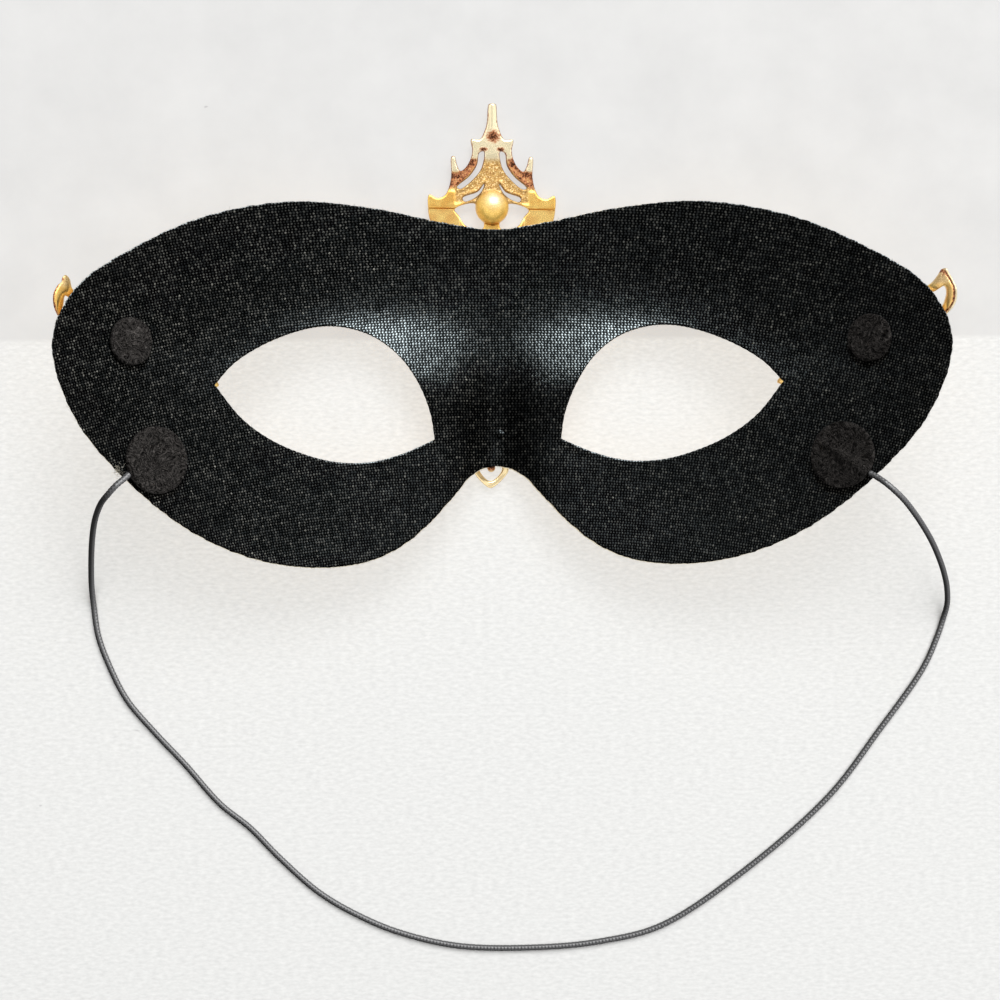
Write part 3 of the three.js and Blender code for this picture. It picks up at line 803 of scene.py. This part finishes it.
casting_outline = smooth_curve(lean(CASTING_HALF + [(-x, y) for x, y in reversed(CASTING_HALF)]), True, 8)
casting_openings = [smooth_curve(lean([(side * x, y) for x, y in opening]), True, 6)
                    for opening in (UPPER_SLOT, LOWER_SLOT, BESIDE_BALL, BROW_OPENING) for side in (1, -1)]
casting_openings.append(smooth_curve(lean(LOOP_OPENING), True, 8))


# %% Relief of the centre casting
def spike_zone(u, v):
    """1 on the two thorns at the sides."""
    return ease(np.abs(u), 7.4, 7.9) * ease(v, 37.4, 38.2)


def grain_zone(u, v):
    """1 on the rough-cast middle column and side arms, 0 on plates, spikes, wings and ball."""
    arms = ease(v, 29.8, 31.0) * ease(v, 42.0, 39.8)
    wings = ease(np.abs(u), 8.0, 9.2) * ease(v, 34.0, 33.0)
    return arms * (1 - spike_zone(u, v)) * (1 - wings)


def centre_back(x, y, plan):
    """Height of the casting's back: the crest is level, and the stem follows the front of the mask."""
    u, v = upright(x, y)
    behind = layer_height(x, y, CASTING_DEPTH)
    level = CREST_BACK_Z + STEM_SLOPE * np.maximum(0, STEM_START_Y - y)
    rough = grain_zone(u, v)
    grain = 0.028 * rough * speckle(x.shape, 0, 51)
    raised_edge = 0.1 * rough * bell(plan + 0.3, 0.3)
    lower_scroll = 0.5 * ease(v, 29.6, 29.0) * ease(np.abs(u), 6.8, 7.8) * ease(v, 23, 25)
    middle_line = 0.2 * bell(u, 0.5) * ease(v, 45.5, 47)
    return np.minimum(behind, level) + grain + raised_edge - lower_scroll - 0.2 * rough + middle_line


def centre_front(back, plan):
    """Height of the front: domed limbs, thinner towards their edges, with a groove along them."""
    deep = np.clip(-plan, 0, None)
    thickness = CASTING_THICKNESS - 0.9 * np.exp(-deep / 0.9) - 0.25 * bell(deep - 0.9, 0.25)
    return np.maximum(THINNEST_FRONT_Z, back - thickness)


# %% The centre casting as a mesh
BALL = {"y": 29.5, "z": 3.6, "radius": 3.9, "fillet": 0.5}
FOOT = {"x": 12.6, "y": 29.0, "radius": 1.8, "height": 1.6, "fillet": 0.7}
DROP = {"x": -1.05, "y": -31.3, "z": 3.2, "radius": 0.95, "fillet": 0.4}
CREST_ROUNDING = 0.32
PITCH = 0.21
# Dark spots at given places on the crest, which go into the dark share.
DARK_SPOTS = [
    (0.15, 46.2, 1.5, 1.4), (-2.2, 43.2, 0.9, 0.45), (1.8, 43.2, 0.9, 0.45), (-1.05, -30.9, 1.4, 1.0),
    (-8.6, 36.9, 2.0, 0.8), (8.0, 37.1, 2.0, 0.8), (-4.9, 40.0, 0.9, 1.1), (4.6, 39.8, 0.9, 1.2),
]


def add_sphere(field, x, y, z, place, sphere):
    """A field joined with the distance to a sphere: length from its centre, less the radius."""
    apart = (x[..., None] - place[0]) ** 2 + (y[..., None] - place[1]) ** 2 + (z - sphere["z"]) ** 2
    return join(field, np.sqrt(apart) - sphere["radius"], sphere["fillet"])


def grid_under(points, low, pitch):
    """Column and row of the grid place next to each point."""
    return tuple(np.round((points[:, k] - low[k]) / pitch).astype(int) for k in range(2))


def centre_casting():
    """Plate, ball, two feet and the drop in the loop, joined, and cut flat where they rest."""
    low, high = np.array([-16.6, -37.6, -0.7]), np.array([16.6, 55.8, 9.0])
    axes = [np.arange(low[k], high[k], PITCH) for k in range(3)]
    x, y = np.meshgrid(axes[0], axes[1], indexing="ij")
    z = axes[2][None, None, :]
    plan = plan_distance(x, y, casting_outline, casting_openings)
    back = centre_back(x, y, plan)
    field = plate_field(plan, back, centre_front(back, plan), z, PITCH, CREST_ROUNDING)
    field = add_sphere(field, x, y, z, lean([(0, BALL["y"])])[0], BALL)
    for foot_x, foot_y in lean([(FOOT["x"], FOOT["y"]), (-FOOT["x"], FOOT["y"])]):
        post = np.hypot(x - foot_x, y - foot_y)[..., None] - FOOT["radius"] + 0.35 * (z / FOOT["height"]) ** 2
        field = join(field, np.maximum(post, z - FOOT["height"]), FOOT["fillet"])
    field = np.maximum(add_sphere(field, x, y, z, (DROP["x"], DROP["y"]), DROP), -z)
    points, quads = surface_nets(field, low, PITCH)
    return points, quads, plan[grid_under(points, low, PITCH)]


def centre_finish(points, plan):
    """Shares of pale plate, rough grain, darkening and satin ball at each point, for the gold. The pale
    share is a painted highlight on the top of the ball and partly painted highlight on the flat plates
    and spikes. The darkening holds dark spots, the dark outer arms and painted shade along the edges of
    the upper crest. The line of the upper slot parts the bright middle from the outer arms, which are
    the darkest."""
    x, y = points[:, 0], points[:, 1]
    u, v = upright(x, y)
    side = np.abs(u)
    spikes = spike_zone(u, v)
    # A painted highlight on the upper part of the ball, which goes into the pale share.
    ball_painted_highlight = bell(np.hypot(u - 0.3, v - BALL["y"] - 1.6), 1.9)
    # The spire and spikes are pale plating, partly painted highlight for the glare of the flat plates.
    plates = np.maximum.reduce([ease(v, 39.6, 41.4), spikes, ball_painted_highlight])
    scroll = 0.1 * ease(v, 29.6, 29.0) * ease(side, 6.0, 8.0)
    pale = np.clip(plates + scroll + 0.7 * ease(v, -27, -29), 0, 1)
    slot_side = np.interp(v, [34.3, 37.0, 39.6, 42.4], [8.2, 5.2, 3.5, 2.9])
    arm = ease(side - slot_side, 0.1, 0.7) * ease(v, 33.4, 34.8) * ease(v, 41.4, 40.6) * (1 - spikes)
    tarnish_and_shade = arm * (0.22 + 0.55 * bell(plan + 0.3, 0.6))
    for spot_x, spot_y, wide, high in DARK_SPOTS:
        tarnish_and_shade = np.maximum(tarnish_and_shade, np.exp(-((x - spot_x) / wide) ** 2 - ((y - spot_y) / high) ** 2))
    # Painted shade along the edges of the upper crest.
    outline = 0.6 * bell(plan, 0.2) * ease(v, 37.0, 38.5)
    ball = ease(np.hypot(u, v - BALL["y"]), 4.1, 3.8)
    grain = grain_zone(u, v) * (1 - ball) + 0.35 * ball
    tarnish_and_shade = np.clip(np.maximum(tarnish_and_shade, outline), 0, 1)
    return {"pale": pale, "grain": grain, "tarnish_and_shade": tarnish_and_shade, "satin": ball}


centre_points, centre_quads, centre_plan = centre_casting()
centre_shares = centre_finish(centre_points, centre_plan)
centre = add_mesh("crest_casting", centre_points, [centre_quads], values=centre_shares)
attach(centre, "root")
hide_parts("centre_ornament")

# %% [markdown]
# ## The side castings
# At each temple a casting runs from the outer eye corner over the front of the mask and ends in an
# open leaf loop that stands past the rim. It is the same kind of plate, thinner, and it follows the
# front of the mask at one depth. A groove inside its outer edge holds the dark line of old polish.

# %% The side castings as meshes
SIDE_THICKNESS = 1.8
STEM_LOWER = [
    (63.4, -12.5), (66.6, -13.2), (71.5, -13), (75.4, -9.6), (78.6, -7.6), (82.6, -7.3), (86, -4.8),
    (89.6, -3.2), (94, -1.2),
]
STEM_UPPER = [(86.6, 4.2), (82.4, 2.2), (78.3, 0.6), (76.8, -2.9), (72.4, -5.2), (67.4, -8.6)]
LEAF_LOOP = {
    "right": [
        (97.6, 1.4), (99, 3.4), (99.4, 5.6), (99.2, 7.2), (98.5, 9), (97.8, 10.4), (97.4, 11.3), (96.7, 11.3),
        (95.9, 10), (94.6, 8.3), (92.2, 7), (89.6, 5.7),
    ],
    "left": [
        (96.6, 1.2), (97.6, 3.2), (97.9, 5.2), (97.7, 6.8), (96.8, 8.5), (96.2, 9), (96, 10), (95.3, 10.7),
        (94.6, 10), (94, 7.8), (92.2, 6.6), (89.6, 5.5),
    ],
}
LEAF_OPENING = {
    "right": [
        (91.6, 2.2), (94.4, 2.4), (96.6, 3.1), (97.2, 4.4),
        (97.5, 6.4), (97.1, 7.5), (95.4, 6.5), (93.2, 5.3),
    ],
    "left": [
        (91.6, 2.2), (94.2, 2.2), (95.8, 3.2), (95.8, 4.8),
        (95.5, 6.2), (95, 6), (93.2, 5), (91.6, 4),
    ],
}
GROOVE_DEPTH = {"right": 0.62, "left": 0.22}
GROOVE_FROM_X = 96.2
PALE_BODY = {"right": 0.15, "left": 0.0}
# Where painted shade darkens the left side of each knob.
KNOB_SHADE = {"right": (96.3, 10.9), "left": (-96.1, 9.8)}
SIDE_ROUNDING = 0.3
SIDE_PITCH = 0.16
SIDE_MARGIN = 0.8
SIDE_REACH_Y = (-14.6, 12.4)


def side_casting(side_name, side):
    """A plate at one depth below the hollow, with a raised outer line, a groove and a rounded body."""
    outline = smooth_curve(STEM_LOWER + LEAF_LOOP[side_name] + STEM_UPPER, True, 8) * [side, 1]
    opening = smooth_curve(LEAF_OPENING[side_name], True, 8) * [side, 1]
    low_x, high_x = outline[:, 0].min() - SIDE_MARGIN, outline[:, 0].max() + SIDE_MARGIN
    axes = [np.arange(low_x, high_x, SIDE_PITCH), np.arange(*SIDE_REACH_Y, SIDE_PITCH)]
    x, y = np.meshgrid(*axes, indexing="ij")
    plan = plan_distance(x, y, outline, [opening])
    deep = np.clip(-plan, 0, None)
    from_outside = np.clip(-loop_distance(x, y, outline), 0, None)
    near_tip = ease(side * x, GROOVE_FROM_X, GROOVE_FROM_X + 0.8)
    groove_at = GROOVE_DEPTH[side_name]
    groove = near_tip * bell(from_outside - groove_at, 0.2)
    back = layer_height(x, y, CASTING_DEPTH) - 0.25 * groove + 0.2 * ease(deep, 0, 0.9)
    front = layer_height(x, y, CASTING_DEPTH + SIDE_THICKNESS) + 0.7 * np.exp(-deep / 0.7)
    axes.append(np.arange(front[plan < 1].min() - 1.2, back[plan < 1].max() + 1.2, SIDE_PITCH))
    field = plate_field(plan, back, front, axes[2][None, None, :], SIDE_PITCH, SIDE_ROUNDING)
    low = [axis[0] for axis in axes]
    points, quads = surface_nets(field, low, SIDE_PITCH)
    here = grid_under(points, low, SIDE_PITCH)
    # Pale along the outer edge near the tip and on the top of the knob: partly painted highlight.
    outer_line = ease(from_outside[here], groove_at, groove_at - 0.3) * near_tip[here]
    knob = ease(points[:, 1], 7.6, 8.8)
    pale = np.clip(PALE_BODY[side_name] + 0.85 * np.maximum(outer_line, 0.5 * knob), 0, 1)
    grain = 0.25 + 0.35 * knob
    # A spot of painted shade on the left side of the knob, which goes into the dark share.
    spot_x, spot_y = KNOB_SHADE[side_name]
    darkening = bell(np.hypot(points[:, 0] - spot_x, points[:, 1] - spot_y), 0.5)
    tarnish_and_shade = np.maximum(0.85 * groove[here], 0.9 * darkening)
    piece = add_mesh(f"side_casting_{side_name}", points, [quads],
                     values={"pale": pale, "grain": grain, "tarnish_and_shade": tarnish_and_shade})
    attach(piece, "root")
    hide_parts(f"side_ornament_{side_name}")
    return piece


side_castings = [side_casting(side_name, side) for side_name, side in (("left", -1), ("right", 1))]

# %% [markdown]
# ## Building materials from nodes
# A procedural material is a small chain of nodes. One helper adds a node and sets or links its
# inputs, so each finish below reads as a list of what it does.

# %% Node helper
class Finish:
    """A material whose Principled shader is fed by nodes that are added one line at a time."""

    def __init__(self, name, **constants):
        self.material = bpy.data.materials.new(name)
        self.material.use_nodes = True
        self.tree = self.material.node_tree
        self.shader = self.tree.nodes["Principled BSDF"]
        for socket, value in constants.items():
            self.shader.inputs[socket.replace("_", " ").title().replace("Ior", "IOR")].default_value = value

    def add(self, kind, inputs=(), output=0, **settings):
        """A node with its settings and its inputs, by number or name; gives one of its outputs."""
        node = self.tree.nodes.new(kind)
        for key, value in settings.items():
            setattr(node, key, value)
        for socket, value in dict(inputs).items():
            if isinstance(value, bpy.types.NodeSocket):
                self.tree.links.new(value, node.inputs[socket])
            else:
                node.inputs[socket].default_value = value
        return node.outputs[output]

    def feed(self, socket, value):
        """Links an output to the shader."""
        self.tree.links.new(value, self.shader.inputs[socket])

    def math(self, operation, a, b=0.0, clamp=False):
        """One step of arithmetic."""
        return self.add("ShaderNodeMath", {0: a, 1: b}, operation=operation, use_clamp=clamp)

    def plus(self, a, b):
        """Sum of two numbers."""
        return self.math("ADD", a, b)

    def times(self, a, b, clamp=False):
        """Product of two numbers."""
        return self.math("MULTIPLY", a, b, clamp)

    def first_two(self, vector):
        """The first two numbers of a vector."""
        node = self.add("ShaderNodeSeparateXYZ", {0: vector}).node
        return node.outputs[0], node.outputs[1]

    def place(self):
        """Object coordinates, in metres."""
        return self.add("ShaderNodeTexCoord", output="Object")

    def noise(self, where, scale, detail=2.0, roughness=0.5, distortion=0.0, output=0):
        """Soft random value from 0 to 1, with about scale lumps in each unit; output 1 has three."""
        return self.add("ShaderNodeTexNoise", {"Vector": where, "Scale": scale, "Detail": detail,
                                               "Roughness": roughness, "Distortion": distortion}, output)

    def spread(self, value, low, high, to_low=0.0, to_high=1.0):
        """Stretches low to high onto another range and stops at its ends."""
        return self.add("ShaderNodeMapRange", {0: value, 1: low, 2: high, 3: to_low, 4: to_high})

    def blend(self, share, first, second):
        """Mix of two colours."""
        return self.add("ShaderNodeMix", {0: share, 6: first, 7: second}, output=2, data_type="RGBA")

    def attribute(self, name):
        """A number stored on the mesh's points."""
        return self.add("ShaderNodeAttribute", output="Fac", attribute_name=name)

    def bump(self, height, strength, distance_mm, under=None):
        """Tilts the surface as if it had that height, in millimetres at full strength."""
        inputs = {"Height": height, "Strength": strength, "Distance": distance_mm * MM}
        if under is not None:
            inputs["Normal"] = under
        return self.add("ShaderNodeBump", inputs)

    def wear(self, *pieces):
        """Puts the material on pieces."""
        for piece in pieces:
            piece.data.materials.clear()
            piece.data.materials.append(self.material)


# %% [markdown]
# ## Black tricot
# Close up, the lining is a lattice of small shiny loops over gaps painted black: the cloth's own
# black, deepened by painted shade where the loops would shade the gaps. The pattern lives in the
# lining's own UV map, which counts stitches, so it follows the cloth round the bowl. Every stitch has
# its own size and brightness from white-noise values, and a few are painted near-white as specks,
# a painted glint where a loop would catch the light.
# The shine is a thin coat on the loops. Its high index keeps it nearly alike from all sides, where an
# ordinary gloss would turn the cloth white when it is seen from low down. The bump makes each loop a
# tiny cushion, and raises a spot below the bridge of the nose, where a pin of the casting presses.

# %% Knit material
PIN_PLACE = (1.0, -23.6)
PIN_TOP = (PIN_PLACE[0] * MM, PIN_PLACE[1] * MM, float(hollow(*PIN_PLACE)) * MM)


def knit_finish():
    """Loops from the sum of two cosines over the stitch cell, brightness by stitch, coat and bump."""
    knit = Finish("black_tricot", specular_ior_level=0.0, coat_roughness=0.37, coat_ior=4.0)
    uv = knit.add("ShaderNodeUVMap", uv_map="pattern")
    drift = knit.noise(uv, 0.35, detail=1.0, output=1)
    wander = knit.add("ShaderNodeVectorMath", {0: drift, 1: (0.5, 0.5, 0.5)}, operation="SUBTRACT")
    moved = knit.add("ShaderNodeVectorMath", {0: wander, 1: (0.5, 0.5, 0.0), 2: uv}, operation="MULTIPLY_ADD")
    across, along = knit.first_two(moved)
    odd_row = knit.math("FLOORED_MODULO", knit.math("FLOOR", along), 2.0)
    across = knit.plus(across, knit.times(odd_row, 0.22))
    column, row = (knit.math("FLOOR", place) for place in (across, along))
    inside = [knit.math("SUBTRACT", knit.math("FRACT", place), 0.5) for place in (across, along)]
    wave_across, wave_along = (knit.math("COSINE", knit.times(part, 2 * math.pi)) for part in inside)
    height = knit.plus(wave_across, knit.times(wave_along, 0.8))
    size, luck = (knit.add("ShaderNodeTexWhiteNoise", {
        "Vector": knit.add("ShaderNodeCombineXYZ", {0: column, 1: row, 2: draw})}) for draw in (0.0, 1.0))
    height = knit.spread(knit.plus(height, knit.times(size, 1.2)), 0.5, 2.7)
    # The colour falls to black between the loops: the cloth's own black, deepened by painted shade.
    dot = knit.math("POWER", height, 1.6)
    cloud = knit.noise(uv, 0.06, detail=3.0, roughness=0.6)
    lively = knit.spread(cloud, 0.35, 0.65, 0.6, 1.3)
    bright = knit.times(knit.math("POWER", luck, 1.6), 0.2)
    # The rare near-white stitches are painted glints.
    bright = knit.plus(bright, knit.spread(luck, 0.97, 1.0, 0.0, 0.15))
    albedo = knit.times(dot, knit.times(bright, lively))
    knit.feed("Base Color", knit.blend(albedo, (0, 0, 0, 1), (1.0, 0.97, 0.84, 1)))
    knit.feed("Coat Weight", knit.spread(height, 0.0, 0.3, 0.004, 0.05))
    pin = knit.add("ShaderNodeVectorMath", {0: knit.place(), 1: PIN_TOP}, output=1, operation="DISTANCE")
    relief = knit.plus(height, knit.spread(pin, 0.5 * MM, 1.1 * MM, 9.0, 0.0))
    cushions = knit.bump(relief, 1.0, 0.035)
    knit.feed("Normal", cushions)
    knit.feed("Coat Normal", cushions)
    return knit


knit_finish().wear(lining)

# %% [markdown]
# ## Frayed fibres, felt and elastic
# The fibres go from black to the beige of the cloth's core by a number kept for each fibre. Felt is a
# mat of swirling fibres: stretched noise, broken by finer noise, with much bump and no gloss. The
# elastic's sleeve is a braid in the cord's own UV map, lighter on the crest of each rib as a painted
# highlight and darker between the ribs as painted shade, with the same kind of thin coat as the knit
# for its line of shine.

# %% Materials of the soft pieces
def thread_finish():
    """Black to beige by each fibre's own shade."""
    thread = Finish("frayed_fibre", roughness=0.8, specular_ior_level=0.2)
    shade = thread.attribute("shade")
    thread.feed("Base Color", thread.blend(shade, (0.02, 0.02, 0.02, 1), (0.7, 0.65, 0.54, 1)))
    return thread


def felt_finish():
    """Two scales of fibre noise mix a dark and a light grey and raise the surface."""
    felt = Finish("black_felt", roughness=1.0, specular_ior_level=0.08)
    where = felt.place()
    swirl = felt.noise(where, 260.0, output=1)
    bent = felt.add("ShaderNodeVectorMath", {0: swirl, 1: (0.011, 0.011, 0.011), 2: where},
                    operation="MULTIPLY_ADD")
    stretched = felt.add("ShaderNodeMapping", {"Vector": bent, "Scale": (1.0, 2.6, 1.6)})
    fibres = felt.noise(stretched, 750.0, detail=5.0, roughness=0.68, distortion=0.8)
    fine = felt.noise(where, 5200.0, roughness=0.6)
    contour = felt.math("SUBTRACT", felt.noise(bent, 620.0, detail=1.0, distortion=1.2), 0.5)
    strand = felt.spread(felt.math("ABSOLUTE", contour), 0.0, 0.03, 0.45, 0.0)
    shade = felt.plus(felt.times(fibres, 0.75), felt.times(fine, 0.25))
    shade = felt.plus(felt.spread(shade, 0.46, 0.64, 0.0, 0.55), strand)
    felt.feed("Base Color", felt.blend(shade, (0.003, 0.0029, 0.0028, 1), (0.19, 0.175, 0.165, 1)))
    rough = felt.bump(fine, 0.5, 0.12)
    felt.feed("Normal", felt.bump(fibres, 0.9, 0.35, under=rough))
    return felt


def elastic_finish():
    """Crossing helices of a braid over the cord's own map, as colour and as bump, under a thin coat."""
    elastic = Finish("black_elastic_braid", roughness=0.6, specular_ior_level=0.0, coat_weight=0.06,
                     coat_roughness=0.55, coat_ior=4.0)
    uv = elastic.add("ShaderNodeUVMap", uv_map="pattern")
    round_cord, along_cord = elastic.first_two(uv)
    turn = elastic.times(round_cord, 4 * math.pi)
    run = elastic.times(along_cord, 2 * math.pi / RIB_PITCH)
    one_way = elastic.math("SINE", elastic.plus(run, turn))
    other_way = elastic.math("SINE", elastic.math("SUBTRACT", run, turn))
    braid = elastic.math("MAXIMUM", one_way, other_way)
    fuzz = elastic.noise(elastic.place(), 2600.0, detail=3.0)
    height = elastic.plus(braid, fuzz)
    # Lighter on the crests of the braid and darker in its grooves: painted highlight and painted shade.
    shade = elastic.spread(height, -0.2, 1.7)
    elastic.feed("Base Color", elastic.blend(shade, (0.005, 0.005, 0.0053, 1), (0.021, 0.021, 0.0215, 1)))
    elastic.feed("Normal", elastic.bump(height, 0.35, 0.06))
    return elastic


thread_finish().wear(threads)
felt_finish().wear(*discs.values())
elastic_finish().wear(cord)

# %% [markdown]
# ## Gold
# The castings are a thin gold plating over white metal: pale and mirror-like on flat plates, darker
# and flecked on the rough-cast parts, brown with tarnish where polish collected, and satin on the
# ball. Four numbers kept on the mesh say where each of these is. Some of this colour is painted light:
# the pale share is a painted highlight on the top of the ball, and partly painted highlight on the flat
# plates, on the knobs and along the outer edges of the side castings. The dark share adds painted
# shade along the edges of the upper crest and on one side of each knob, and the glints in the grain
# are painted highlights. Metal only shows what it reflects, so the satin ball is made partly of body
# colour. The shell's front is gold paint, softer and more even.

# %% Materials of the gold pieces
# The rust and polish browns also colour painted shade, the glint is a painted highlight, and the pale plate
# colour is partly painted highlight.
GOLD = {
    "deep": (0.82, 0.46, 0.11, 1), "light": (0.92, 0.62, 0.18, 1), "ball": (0.93, 0.60, 0.09, 1),
    "plate": (0.86, 0.75, 0.50, 1), "rough": (0.52, 0.35, 0.12, 1), "fleck": (0.30, 0.15, 0.05, 1),
    "glint": (1.0, 0.93, 0.74, 1), "rust_and_shade": (0.42, 0.17, 0.08, 1), "polish_and_shade": (0.06, 0.022, 0.012, 1),
    "dark paint": (0.60, 0.35, 0.08, 1), "light paint": (0.80, 0.54, 0.16, 1), "bare": (0.80, 0.72, 0.56, 1),
}


def plating_finish():
    """Pale and amber gold by share, flecks and painted glints in the grain, and darkening from old dirt
    and from painted shade, broken up by noise.
    """
    gold = Finish("gold_plating")
    where = gold.place()
    fine, broad = gold.noise(where, 2600.0, detail=3.0, roughness=0.65), gold.noise(where, 420.0)
    pale, grain, tarnish_and_shade, satin = (gold.attribute(name) for name in ("pale", "grain", "tarnish_and_shade", "satin"))
    amber = gold.blend(gold.spread(broad, 0.35, 0.65), GOLD["deep"], GOLD["light"])
    plated = gold.blend(gold.times(satin, 0.6), amber, GOLD["ball"])
    plated = gold.blend(pale, plated, GOLD["plate"])
    plated = gold.blend(gold.spread(grain, 0.4, 1.0, 0.0, 0.8), plated, GOLD["rough"])
    grit = gold.noise(where, 4200.0, roughness=0.7)
    flecks = gold.times(grain, gold.spread(grit, 0.47, 0.57, 1.0, 0.0), clamp=True)
    flecked = gold.blend(gold.times(flecks, 0.85), plated, GOLD["fleck"])
    glints = gold.times(grain, gold.spread(grit, 0.58, 0.66), clamp=True)
    flecked = gold.blend(gold.times(glints, 0.5), flecked, GOLD["glint"])
    # The dark share broken up by noise: tarnish, and painted shade along the crest's edges and on the knobs.
    darkening = gold.times(tarnish_and_shade, gold.spread(fine, 0.38, 0.6, 1.35, 0.55), clamp=True)
    rusted_and_shaded = gold.blend(gold.spread(darkening, 0.15, 0.45), flecked, GOLD["rust_and_shade"])
    gold.feed("Base Color", gold.blend(gold.spread(darkening, 0.45, 0.85), rusted_and_shaded, GOLD["polish_and_shade"]))
    gold.feed("Metallic", gold.spread(satin, 0.0, 1.0, 1.0, 0.45))
    shine = gold.plus(gold.times(grain, 0.22), 0.24)
    gold.feed("Roughness", gold.plus(shine, gold.times(darkening, 0.3)))
    gold.feed("Normal", gold.bump(fine, gold.plus(gold.times(grain, 0.6), 0.05), 0.1))
    return gold


def paint_finish():
    """Metallic gold paint with soft clouds and a fine orange-peel, and bare pale material at the cut."""
    paint = Finish("gold_paint", specular_ior_level=0.5)
    where, bare = paint.place(), paint.attribute("bare")
    clouds, peel = paint.noise(where, 60.0, detail=4.0), paint.noise(where, 1400.0)
    coat = paint.blend(paint.spread(clouds, 0.3, 0.7), GOLD["dark paint"], GOLD["light paint"])
    paint.feed("Base Color", paint.blend(bare, coat, GOLD["bare"]))
    paint.feed("Metallic", paint.spread(bare, 0.0, 1.0, 0.85, 0.0))
    paint.feed("Roughness", paint.spread(clouds, 0.3, 0.7, 0.34, 0.5))
    paint.feed("Normal", paint.bump(peel, 0.25, 0.08))
    return paint


plating_finish().wear(centre, *side_castings)
paint_finish().wear(shell)

# %% [markdown]
# ## Table and light
# The mask lies on two pale boards, a finely streaked one in front and a cloudy one behind. Product
# photographers place flags so that a lamp reaches one thing and not the next, and light linking does
# the same: each lamp has a list of what it lights. A low lamp beyond the crest only makes gloss, on
# the slopes above the eyes. The gold stands in a tent of one wide box above and four walls, because a
# ball reflects all its surroundings, and a wide lamp beyond the crest puts the highlight on it. The
# cloth has one lamp. The cord has a high one for the line of shine along it, and a low one from its
# right. The boards have a light that only the cord shadows, and a weaker one for the mask's shadow.

# %% Table
FLOOR_HALF = 1500.0
FLOOR_Z = -0.02
JOIN_Y = -1.5
JOIN_WIDTH = 1.2
floor_points = FLOOR_HALF * np.array([(-1, -1, 0), (1, -1, 0), (1, 1, 0), (-1, 1, 0)], float)
floor_points[:, 2] = FLOOR_Z
floor = add_mesh("table", floor_points, [np.array([[0, 1, 2, 3]])])
table_top = Finish("pale_table", roughness=0.7, specular_ior_level=0.1)
table_place = table_top.place()
streaked = table_top.add("ShaderNodeMapping", {"Vector": table_place, "Scale": (0.4, 1.0, 1.0)})
streaks = table_top.spread(table_top.noise(streaked, 1500.0, detail=3.0, roughness=0.6), 0.25, 0.75)
front_board = table_top.blend(streaks, (0.365, 0.365, 0.36, 1), (0.445, 0.445, 0.437, 1))
clouds = table_top.spread(table_top.noise(table_place, 60.0, detail=6.0, roughness=0.6), 0.25, 0.75)
back_board = table_top.blend(clouds, (0.345, 0.343, 0.34, 1), (0.38, 0.378, 0.374, 1))
beyond = table_top.spread(table_top.first_two(table_place)[1], JOIN_Y * MM, (JOIN_Y + JOIN_WIDTH) * MM)
chips = table_top.spread(table_top.noise(streaked, 160.0, detail=3.0, roughness=0.6), 0.735, 0.755, 0.0, 0.5)
boards = table_top.blend(beyond, front_board, back_board)
table_top.feed("Base Color", table_top.blend(chips, boards, (0.1, 0.1, 0.1, 1)))
table_top.wear(floor)


# %% Lights
def soft_light(name, place, size, strength, lights, shadows=None, gloss=True, body=True, colour=(1, 1, 1)):
    """A square lamp facing the mask, which gives it strength in watts on each square metre.

    The lamp's own power is that times pi times the distance squared. It lights only the listed
    pieces. gloss and body say whether it makes highlights and whether it lights the body colour.
    """
    light = bpy.data.lights.new(name, "AREA")
    light.size, light.energy, light.color = size, strength * math.pi * Vector(place).length_squared, colour
    lamp = bpy.data.objects.new(name, light)
    lamp.location = place
    lamp.rotation_euler = (-Vector(place)).to_track_quat("-Z", "Y").to_euler()
    lamp.visible_glossy, lamp.visible_diffuse = gloss, body
    for kind, pieces in (("receiver_collection", lights), ("blocker_collection", shadows)):
        if pieces:
            group = bpy.data.collections.new(f"{name}_{kind}")
            for piece in pieces:
                group.objects.link(piece)
            setattr(lamp.light_linking, kind, group)
    bpy.context.scene.collection.objects.link(lamp)


WALL_DISTANCE = 1.2
WALL_HEIGHT = 0.5
WALL_SIZE = 2.4
WALL_STRENGTH = 1.6
WORLD_STRENGTH = 0.22

gold_pieces = [centre, shell, *side_castings]
cloth_pieces = [lining, threads, *discs.values()]
soft_light("sheen_light", (0.1, 1.06, 0.62), 0.4, 41.0, [lining], body=False, colour=(0.82, 0.96, 1.0))
soft_light("soft_key", (0.85, 0.55, 0.67), 1.0, 3.0, cloth_pieces, gloss=False)
soft_light("cord_key", (0.6, 0.55, 1.0), 0.5, 23.0, [cord], shadows=[cord])
soft_light("cord_side", (1.2, -0.3, 0.4), 0.6, 15.0, [cord], shadows=[cord], gloss=False)
soft_light("gold_box", (0.05, 0.05, 1.2), 4.8, 8.6, gold_pieces)
soft_light("gold_key", (0.15, 0.9, 0.85), 1.1, 3.1, gold_pieces)
for wall, x, y in (("left", -1, 0), ("right", 1, 0), ("near", 0, -1), ("far", 0, 1)):
    wall_place = (x * WALL_DISTANCE, y * WALL_DISTANCE, WALL_HEIGHT)
    soft_light(f"gold_wall_{wall}", wall_place, WALL_SIZE, WALL_STRENGTH, gold_pieces)
soft_light("table_light", (0.5, 1.0, 2.6), 3.2, 8.7, [floor], shadows=[cord], gloss=False)
soft_light("shadow_light", (0.1, 1.1, 1.5), 0.8, 1.0, [floor], gloss=False)
world = bpy.data.worlds.new("soft_studio")
world.use_nodes = True
sky = world.node_tree.nodes["Background"].inputs
sky["Color"].default_value = (1, 1, 1, 1)
sky["Strength"].default_value = WORLD_STRENGTH
bpy.context.scene.world = world
bpy.context.scene.view_settings.view_transform = "Standard"
